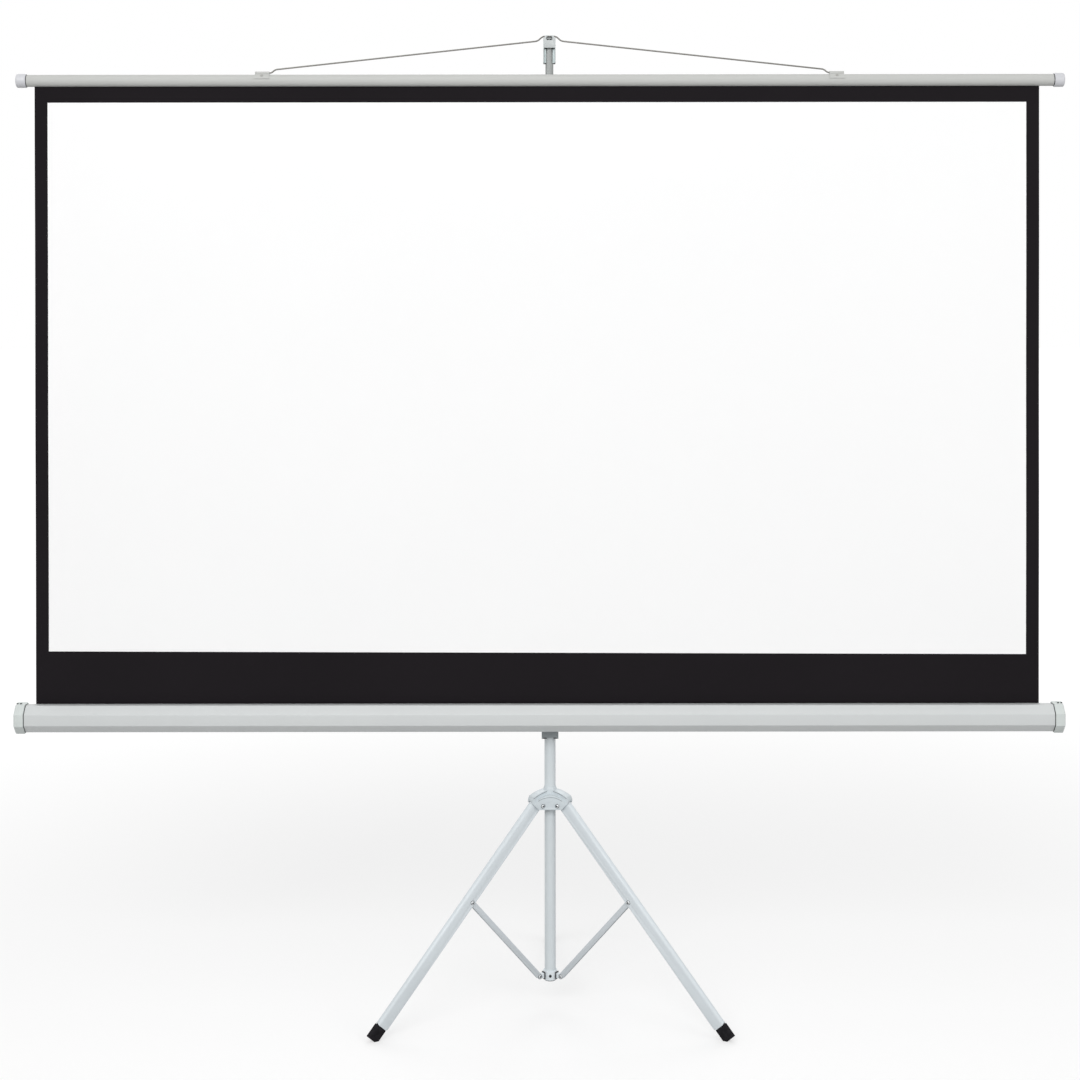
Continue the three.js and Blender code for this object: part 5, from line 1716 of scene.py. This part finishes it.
@dataclass
class MastAndRod(Assembly):
    """The mast with its collar, sleeve and lock, and the extension rod with its clip."""

    radius: float = 12.7 * MM
    wall: float = 1.2 * MM
    edge: float = 0.3 * MM
    plug_edge: float = 0.5 * MM
    cast_edge: float = 0.8 * MM
    clip_edge: float = 0.45 * MM
    screw_seat: float = 1.5 * MM
    screw_radius: float = 3.2 * MM
    screw_height: float = 1.5 * MM
    # Black plates of painted shade in the gaps between the collar and the braces.
    spacer_start: float = 16.6 * MM
    spacer_thickness: float = 1.7 * MM
    spacer_half: float = 6.4 * MM
    spacer_rise: float = 8.0 * MM
    rod: float = 18.0 * MM
    rod_corner: float = 5.88 * MM
    pinch: float = 34.0 * MM
    pinch_soft: float = 2.0 * MM
    pinch_width: float = 8.0 * MM
    fold: float = 33.5 * MM
    fold_start: float = 1.0 * MM
    fold_overlap: float = 1.6 * MM
    fold_depth: float = 0.9 * MM
    fold_inset: float = 0.4 * MM

    def build(self) -> None:
        """Builds from the floor up."""
        self.mast_tube()
        self.collar()
        self.sleeve()
        self.rod_tube()
        self.clip()

    def mast_tube(self) -> None:
        """The mast's tube with a rolled edge at each end."""
        low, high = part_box("mast_tube")
        inner, outer, soft = self.radius - self.wall, self.radius, self.edge
        half = [(inner, soft), (inner + soft, 0.0), (outer - soft, 0.0), (outer, soft)]
        profile = [(r, low.z + z) for r, z in half] + [(r, high.z - z) for r, z in reversed(half)]
        axis = (MAST_AXIS.x, MAST_AXIS.y, 0.0)
        tube = Workshop.revolve("mast_tube_drawn", profile, Axis.Z, axis, MAST_PAINT)
        self.hand_over(tube, "mast", "mast_paint", "mast_tube")
        self.round_off(
            "mast_bottom_plug", "_moulding", BLACK_PLASTIC, "mast", "black_plastic", self.plug_edge
        )

    def collar(self) -> None:
        """The collar with its black plates of painted shade, and its screw."""
        painted_shade_plates = [self.spacer(place) for place in LegPlace]
        self.round_off("mast_collar", "_cast", COLLAR_PAINT_PAINTED_LIGHT, "mast", "mast_paint", self.cast_edge, 3, painted_shade_plates)
        place = middle("collar_screw")
        place.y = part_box("collar_screw")[0].y + self.screw_seat
        way = Vector((0, -1, 0))
        screw = cross_screw(
            "collar_screw_cross", place, way, self.screw_radius, self.screw_height, DARK_STEEL_AND_PAINTED_SHADE
        )
        self.hand_over(screw, "mast", "rivet_steel", "collar_screw")

    def spacer(self, place: LegPlace) -> Piece:
        """A thin black plate across a tongue's root, between the collar and the brace: painted shade in the
        gap there.
        """
        low = (self.spacer_start, -self.spacer_half, -self.spacer_rise)
        high = (self.spacer_start + self.spacer_thickness, self.spacer_half, self.spacer_rise)
        return on_leg_plane(Workshop.block("spacer", low, high, BLACK_PLASTIC), place.turn, COLLAR_PIVOT)

    def sleeve(self) -> None:
        """The sleeve at the mast's top and its lock button."""
        self.round_off("mast_top_sleeve", "_moulding", BLACK_PLASTIC, "mast", "black_plastic", self.plug_edge)
        self.round_off(
            "rod_lock_button", "_moulding", CAP_PLASTIC, "rod_lock", "black_plastic", self.cast_edge, 3
        )

    def rod_tube(self) -> None:
        """The rounded square rod whose top is pinched to a wedge."""
        low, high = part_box("extension_rod")
        shoulder = high.z - self.pinch
        share = self.pinch_width / self.rod
        plan = [(low.z, 1.0, -self.edge), (low.z + self.edge, 1.0, 0.0)]
        plan += [(shoulder - self.pinch_soft, 1.0, 0.0), (shoulder + self.pinch_soft, 0.98, 0.0)]
        plan += [(shoulder + self.pinch * t, 1.0 - (1.0 - share) * t, 0.0) for t in (0.35, 0.7, 0.97)]
        plan.append((high.z, share, -self.edge))
        rings = []
        for z, narrow, inset in plan:
            size = self.rod / 2 + inset
            outline = rounded(
                [(size, -size), (size, size), (-size, size), (-size, -size)], self.rod_corner, 5
            )
            rings.append([(MAST_AXIS.x + x * narrow, MAST_AXIS.y + y, z) for x, y in outline])
        rod = Workshop.smooth(Workshop.loft("extension_rod_drawn", rings, ROD_METAL_AND_PAINTED_SHADE), 30.0)
        self.hand_over(rod, "extension", "tube_metal", "extension_rod")
        self.round_off(
            "rod_guide_plug", "_moulding", BLACK_PLASTIC, "extension", "black_plastic", self.plug_edge
        )

    def clip(self) -> None:
        """The folded hook clip, its lighter folds of painted light beside the rod, and its rivet."""
        low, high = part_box("hook_clip")
        inner, outer = self.rod / 2 - self.fold_overlap, (high.x - low.x) / 2 - self.fold_inset
        face = MAST_AXIS.y - self.rod / 2 + self.fold_depth
        lips = []
        for side in Side:
            near, far = sorted(MAST_AXIS.x + side.value * reach for reach in (inner, outer))
            corners = (near, face, low.z + self.fold_start), (far, MAST_AXIS.y, low.z + self.fold)
            # Painted light: the folds take the lighter inside paint.
            lips.append(Workshop.bevel(Workshop.block("fold", *corners, CLIP_INSIDE_PAINTED_LIGHT), self.edge))
        self.round_off("hook_clip", "_folded", CLIP_PAINT, "extension", "clip_paint", self.clip_edge, 3, lips)
        self.round_off("hook_clip_rivet", "_set", RIVET_STEEL, "extension", "rivet_steel", self.edge)


@dataclass
class Carriage(Assembly):
    """The bracket that slides on the mast and carries the case."""

    edge: float = 0.6 * MM
    half_room: float = 16.7 * MM
    # Black blocks of painted shade in the channel's front lower corners.
    lug: float = 9.0 * MM
    lug_height: float = 3.4 * MM
    lug_inset: float = 0.4 * MM

    def build(self) -> None:
        """Builds every piece as a rounded copy of its node."""
        plan: list[tuple[str, Finish, str, str]] = [
            ("carriage_bracket", CARRIAGE_PAINT, "carriage", "carriage_paint"),
            ("case_saddle", CARRIAGE_PAINT, "carriage", "carriage_paint"),
            ("carriage_slide_block", BLACK_PLASTIC, "carriage", "black_plastic"),
            ("pivot_disc", BLACK_PLASTIC, "carriage", "black_plastic"),
            ("case_pivot_bolt", RIVET_STEEL, "carriage", "rivet_steel"),
            ("case_pivot_nut", RIVET_STEEL, "carriage", "rivet_steel"),
            ("lock_lever_pin", RIVET_STEEL, "carriage", "rivet_steel"),
            ("carriage_lock_lever", BLACK_PLASTIC, "lock_lever", "black_plastic"),
        ]
        extras = {"carriage_slide_block": self.corner_lugs()}
        for node, finish, body, slot in plan:
            self.round_off(node, "_made", finish, body, slot, self.edge, extras=extras.get(node, ()))

    def corner_lugs(self) -> list[Piece]:
        """The slide block's two lower lugs, black blocks of painted shade in the channel's front corners."""
        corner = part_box("carriage_bracket")[0]
        low, front = corner.z + self.lug_inset, corner.y + self.lug_inset
        lugs = []
        for side in Side:
            outer, inner = (MAST_AXIS.x + side.value * x for x in (self.half_room, self.half_room - self.lug))
            plan = [(outer, front), (inner, front), (outer, front + self.lug)]
            lugs.append(
                Workshop.prism("corner_lug", plan, Axis.Z, (low, low + self.lug_height), BLACK_PLASTIC)
            )
        return lugs


@dataclass
class Tripod(Assembly):
    """The hub, three legs with feet, three braces and their rivets."""

    leg_thickness: float = 15.0 * MM
    leg_edge: float = 0.4 * MM
    foot_edge: float = 2.4 * MM
    brace_edge: float = 0.3 * MM
    hub_edge: float = 0.5 * MM
    brace_half: float = 5.6 * MM
    hub_seat: float = 20.2 * MM
    rivet_gap: float = 0.3 * MM
    shank: float = 2.4 * MM
    hub_cheek: float = 9.8 * MM
    hub_tip: float = 54.5 * MM
    hub_tip_rise: float = 14.5 * MM
    hub_round: float = 5.4 * MM
    hub_shoulder: float = 32.0 * MM
    hub_drop: float = 8.5 * MM
    hub_plate: float = 33.0 * MM
    rim_bend: float = 0.6
    rim_slant: float = 0.3
    rim_gap: float = 2.0 * MM
    rim_depth: float = 2.0 * MM
    rim_proud: float = 1.0 * MM
    rim_steps: int = 8
    # The dark band of painted shade just under each rim.
    seam: float = 1.0 * MM
    seam_proud: float = 0.3 * MM
    # The crease line, painted dark as the shade under the plate's arch.
    crease_half: float = 27.0 * MM
    crease_low: float = 11.4 * MM
    crease_rise: float = 8.5 * MM
    crease_wire: float = 0.7 * MM
    crease_sink: float = 0.3 * MM
    crease_steps: int = 10
    cut_start: float = 25.5 * MM
    cut_reach: float = 40.0 * MM
    cut_past: float = 3.0 * MM
    cut_span: Point2 = (-60.0 * MM, -27.0 * MM)

    def build(self) -> None:
        """Builds the hub and then each leg."""
        self.hub()
        self.hub_rivets()
        for place in LegPlace:
            leg, brace = "leg_" + place.label, "brace_" + place.label
            self.round_off(leg, "_channel", LEG_PAINT, leg, "leg_paint", self.leg_edge)
            self.round_off(
                "foot_" + place.label, "_moulding", FOOT_RUBBER, leg, "foot_rubber", self.foot_edge, 4
            )
            self.round_off(brace, "_channel", BRACE_PAINT, brace, "leg_paint", self.brace_edge)
            self.leg_rivets(place)
        self.collar_rivets()
        Heads.clear()

    def hub(self) -> None:
        """The hub, with a rolled rim along each roof and its plates' lower corners cut away, and painted
        shade in dark bands and creases.
        """
        rims = [self._band(place, 0.0, self.rim_depth, self.rim_proud, HUB_PAINT) for place in LegPlace]
        cuts = [self._corner_cut(place, side) for place in LegPlace for side in (-1, 1)]
        hub = Workshop.refined("leg_hub", "leg_hub_cast", HUB_PAINT, self.hub_edge, joins=rims, cuts=cuts)
        for place in LegPlace:
            # Painted shade: a dark band under each rim, and a dark crease line across each plate.
            seam = self._band(place, self.rim_depth, self.rim_depth + self.seam, self.seam_proud, PAINTED_RECESS_SHADE)
            Workshop.gather(hub, seam, self._crease(place))
        self.hand_over(hub, "hub", "leg_paint", "leg_hub")

    def _crease(self, place: LegPlace) -> Piece:
        """The pressed line that arches across the plate opposite a leg, painted dark as the shade under the
        arch.
        """
        path = []
        for step in range(-self.crease_steps, self.crease_steps + 1):
            share = step / self.crease_steps
            height = self.crease_low + self.crease_rise * (1 - share**2)
            path.append((-self.hub_plate + self.crease_sink, share * self.crease_half, height))
        return on_leg_plane(WireTree.run("crease", path, self.crease_wire, HUB_CREASE_PAINTED_SHADE), place.turn, HUB_PIVOT)

    def _band(self, place: LegPlace, top: float, bottom: float, proud: float, finish: Finish) -> Piece:
        """A band that follows one roof from its tip to the mast.

        Args:
            place: The leg under the roof.
            top: How far below the roof's outside it starts.
            bottom: How far below the roof's outside it ends.
            proud: How far it stands past the lobe's cheeks.
            finish: Its finish.

        Returns:
            The band in its place.
        """
        tip = (self.hub_tip - self.hub_round, self.hub_tip_rise + self.hub_round)
        bend = (self.hub_tip * self.rim_bend, self.hub_shoulder - self.hub_round / 2)
        end = (MastAndRod.radius + self.rim_gap, self.hub_shoulder)
        line = curve(tip, bend, end, self.rim_steps)
        outline = [(x - top * self.rim_slant, z - top) for x, z in line]
        outline += [(x - bottom * self.rim_slant, z - bottom) for x, z in reversed(line)]
        half = self.hub_cheek + proud
        return on_leg_plane(
            Workshop.prism("rim", outline, Axis.Y, (-half, half), finish), place.turn, HUB_PIVOT
        )

    def _corner_cut(self, place: LegPlace, side: int) -> Piece:
        """The wedge that trims one lower corner of the plate opposite a leg."""
        low, far = -self.hub_drop - self.cut_past, self.cut_start + self.cut_reach
        outline = [(self.cut_start - self.cut_past, low), (far, low), (far, self.cut_reach - self.hub_drop)]
        outline = [(side * x, z) for x, z in outline][::side]
        wedge = Workshop.prism("cut_corner", outline, Axis.Y, self.cut_span, LEG_PAINT)
        return on_leg_plane(wedge, place.turn - math.radians(90.0), HUB_PIVOT)

    @staticmethod
    def _sites(place: LegPlace, reach: float, height: float, half: float) -> list[RivetSite]:
        """Both ends of a rivet that lies across a leg's plane.

        Args:
            place: The leg.
            reach: Distance from the mast's axis.
            height: Height above the floor.
            half: Half the grip.

        Returns:
            Its two head sites.
        """
        out = Vector((math.cos(place.turn), math.sin(place.turn), 0.0))
        across = Vector((-out.y, out.x, 0.0))
        base = Vector((MAST_AXIS.x, MAST_AXIS.y, height)) + out * reach
        return [RivetSite(tuple(base + across * half * s), tuple(across * s)) for s in (-1, 1)]

    def _riveted(self, name: str, body: str, sites: Sequence[RivetSite], nodes: Iterable[str]) -> None:
        """Puts heads on sites, joins their shanks and dark rings and hollow floors of painted shade, and
        hands them over.
        """
        piece = RivetTree.run(name, sites, Heads.rivet(), RIVET_STEEL)
        pairs = zip(sites[::2], sites[1::2])
        shanks = [WireTree.run("shank", [a.point, b.point], self.shank, RIVET_STEEL, 16) for a, b in pairs]
        painted_shades = [RivetTree.run("dark", sites, head, DARK_STEEL_AND_PAINTED_SHADE) for head in (Heads.washer(), Heads.hollow())]
        Workshop.gather(piece, *shanks, *painted_shades)
        self.hand_over(piece, body, "rivet_steel", *nodes)

    def _pivots(self, kind: str, body: str, height: float, half: float) -> None:
        """Sets the three rivets round the mast at one height."""
        sites = [
            s for place in LegPlace for s in self._sites(place, PIVOT_REACH, height, half + self.rivet_gap)
        ]
        self._riveted(kind + "_rivets_set", body, sites, [f"{kind}_rivet_{p.label}" for p in LegPlace])

    def hub_rivets(self) -> None:
        """The three rivets that the legs turn on."""
        self._pivots("hub", "hub", HUB_PIVOT, self.hub_seat)

    def collar_rivets(self) -> None:
        """The three rivets that the braces turn on."""
        self._pivots("collar", "mast", COLLAR_PIVOT, self.brace_half)

    def leg_rivets(self, place: LegPlace) -> None:
        """The rivet that joins a leg and its brace."""
        reach, height = PIVOT_REACH + LINK * math.sin(LEAN), COLLAR_PIVOT + LINK * math.cos(LEAN)
        sites = self._sites(place, reach, height, self.leg_thickness / 2 + self.rivet_gap)
        node = "leg_rivet_" + place.label
        self._riveted(node + "_set", "leg_" + place.label, sites, [node])


@dataclass(frozen=True)
class Lamp:
    """A rectangular lamp: its place, its width and height, and its power in watts."""

    name: str
    place: Point3
    size: Point2
    power: float


@dataclass
class Studio:
    """The floor, lights, world and camera."""

    camera_place: Point3 = (-0.0009, -4.569, 1.609)
    sensor: float = 36.0
    focal_pixels: float = 1953.0
    picture_pixels: float = 1080.0
    horizon: float = 300.4
    pitch: float = math.radians(0.35)
    roll: float = 0.0010
    floor_reach: float = 60.0
    floor_shade: Shade = Shade(176, 176, 176)
    floor_gloss: float = 0.9
    floor_glow: float = 0.53
    far_glow: float = 0.8
    glow_span: Point2 = (1.0, 6.0)
    sky: float = 0.64
    lamp_target: Point3 = (0.0, -0.15, 1.1)
    lamp_plan: tuple[Lamp, ...] = (
        Lamp("key", (-1.5, -5.7, 4.1), (4.2, 3.0), 194.0),
        Lamp("fill_right", (3.4, -3.4, 2.6), (2.2, 2.6), 34.0),
        Lamp("back", (0.0, 3.2, 3.6), (3.0, 2.0), 44.0),
    )

    def build(self) -> None:
        """Sets the stage."""
        self.floor()
        self.world()
        self.lamps()
        self.camera()
        bpy.context.scene.view_settings.view_transform = "Standard"

    def floor(self) -> None:
        """A wide floor that looks white but for the shadow on it."""
        far = self.floor_reach
        corners = [(-far, -far, 0), (far, -far, 0), (far, far, 0), (-far, far, 0)]
        floor = Workshop.from_data("floor", corners, [(0, 1, 2, 3)], None)
        sketch = NodeSketch("floor_white")
        white = (1.0, 1.0, 1.0, 1.0)
        sketch.fix({"Base Color": self.floor_shade.rgba(), "Roughness": self.floor_gloss})
        sketch.fix({"Specular IOR Level": 0.0, "Emission Color": white})
        away = sketch.add("ShaderNodeVectorMath", operation="LENGTH")
        near, far = self.glow_span
        span = {"From Min": near, "From Max": far, "To Min": self.floor_glow, "To Max": self.far_glow}
        glow = sketch.add("ShaderNodeMapRange", span, interpolation_type="SMOOTHSTEP")
        shown = sketch.add("ShaderNodeMath", operation="MULTIPLY")
        sketch.join(sketch.place, away.inputs[0])
        sketch.join(away.outputs["Value"], glow.inputs["Value"])
        sketch.join(glow.outputs["Result"], shown.inputs[0])
        sketch.join(self.seen_ray(sketch), shown.inputs[1])
        sketch.join(shown.outputs["Value"], sketch.shader.inputs["Emission Strength"])
        floor.data.materials.append(sketch.material)

    @staticmethod
    def seen_ray(graph: NodeGraph) -> Socket:
        """One where the camera sees a surface itself, in metal or through glass.

        Args:
            graph: The tree that the nodes go into.

        Returns:
            One for such a ray, and zero for light that bounces.
        """
        path = graph.add("ShaderNodeLightPath")
        last = path.outputs["Is Camera Ray"]
        for name in ("Is Glossy Ray", "Is Transmission Ray"):
            either = graph.add("ShaderNodeMath", operation="MAXIMUM")
            graph.join(last, either.inputs[0])
            graph.join(path.outputs[name], either.inputs[1])
            last = either.outputs["Value"]
        return last

    def world(self) -> None:
        """A white world as the camera sees it, and a soft grey one for the light."""
        world = bpy.data.worlds.new("studio")
        bpy.context.scene.world = world
        world.use_nodes = True
        graph = NodeGraph(world.node_tree)
        graph.tree.nodes.clear()
        mix = graph.add("ShaderNodeMixShader")
        graph.join(self.seen_ray(graph), mix.inputs["Fac"])
        for entry, strength in ((1, self.sky), (2, 1.0)):
            light = graph.add("ShaderNodeBackground", {"Strength": strength, "Color": (1.0, 1.0, 1.0, 1.0)})
            graph.join(light.outputs["Background"], mix.inputs[entry])
        graph.wire((mix, "Shader", graph.add("ShaderNodeOutputWorld"), "Surface"))

    def lamps(self) -> None:
        """A large key high in front, a fill from the right and one from behind."""
        for plan in self.lamp_plan:
            light = bpy.data.lights.new(plan.name, "AREA")
            light.shape = "RECTANGLE"
            light.size, light.size_y = plan.size
            light.energy = plan.power
            lamp = enrol(plan.name, light)
            lamp.location = plan.place
            way = Vector(self.lamp_target) - Vector(plan.place)
            lamp.rotation_euler = way.to_track_quat("-Z", "Y").to_euler()

    def camera(self) -> None:
        """A nearly level camera whose frame is shifted down, as the photograph's is."""
        data = bpy.data.cameras.new("camera")
        data.sensor_fit = "HORIZONTAL"
        data.sensor_width = self.sensor
        data.lens = self.focal_pixels / self.picture_pixels * self.sensor
        middle_row = self.horizon + self.focal_pixels * math.tan(self.pitch)
        data.shift_y = (middle_row - self.picture_pixels / 2) / self.picture_pixels
        camera = enrol("camera", data)
        camera.location = self.camera_place
        camera.rotation_euler = (math.pi / 2 - self.pitch, self.roll, 0.0)
        bpy.context.scene.camera = camera


def main() -> None:
    """Builds the studio and every sub-assembly in order."""
    logging.basicConfig(level=logging.INFO, format="%(name)s: %(message)s")
    Studio().build()
    for assembly in (ScreenSheet(), RollerCase(), TopBar(), MastAndRod(), Carriage(), Tripod()):
        LOG.info("building %s", type(assembly).__name__)
        assembly.build()


if __name__ == "__main__":
    main()
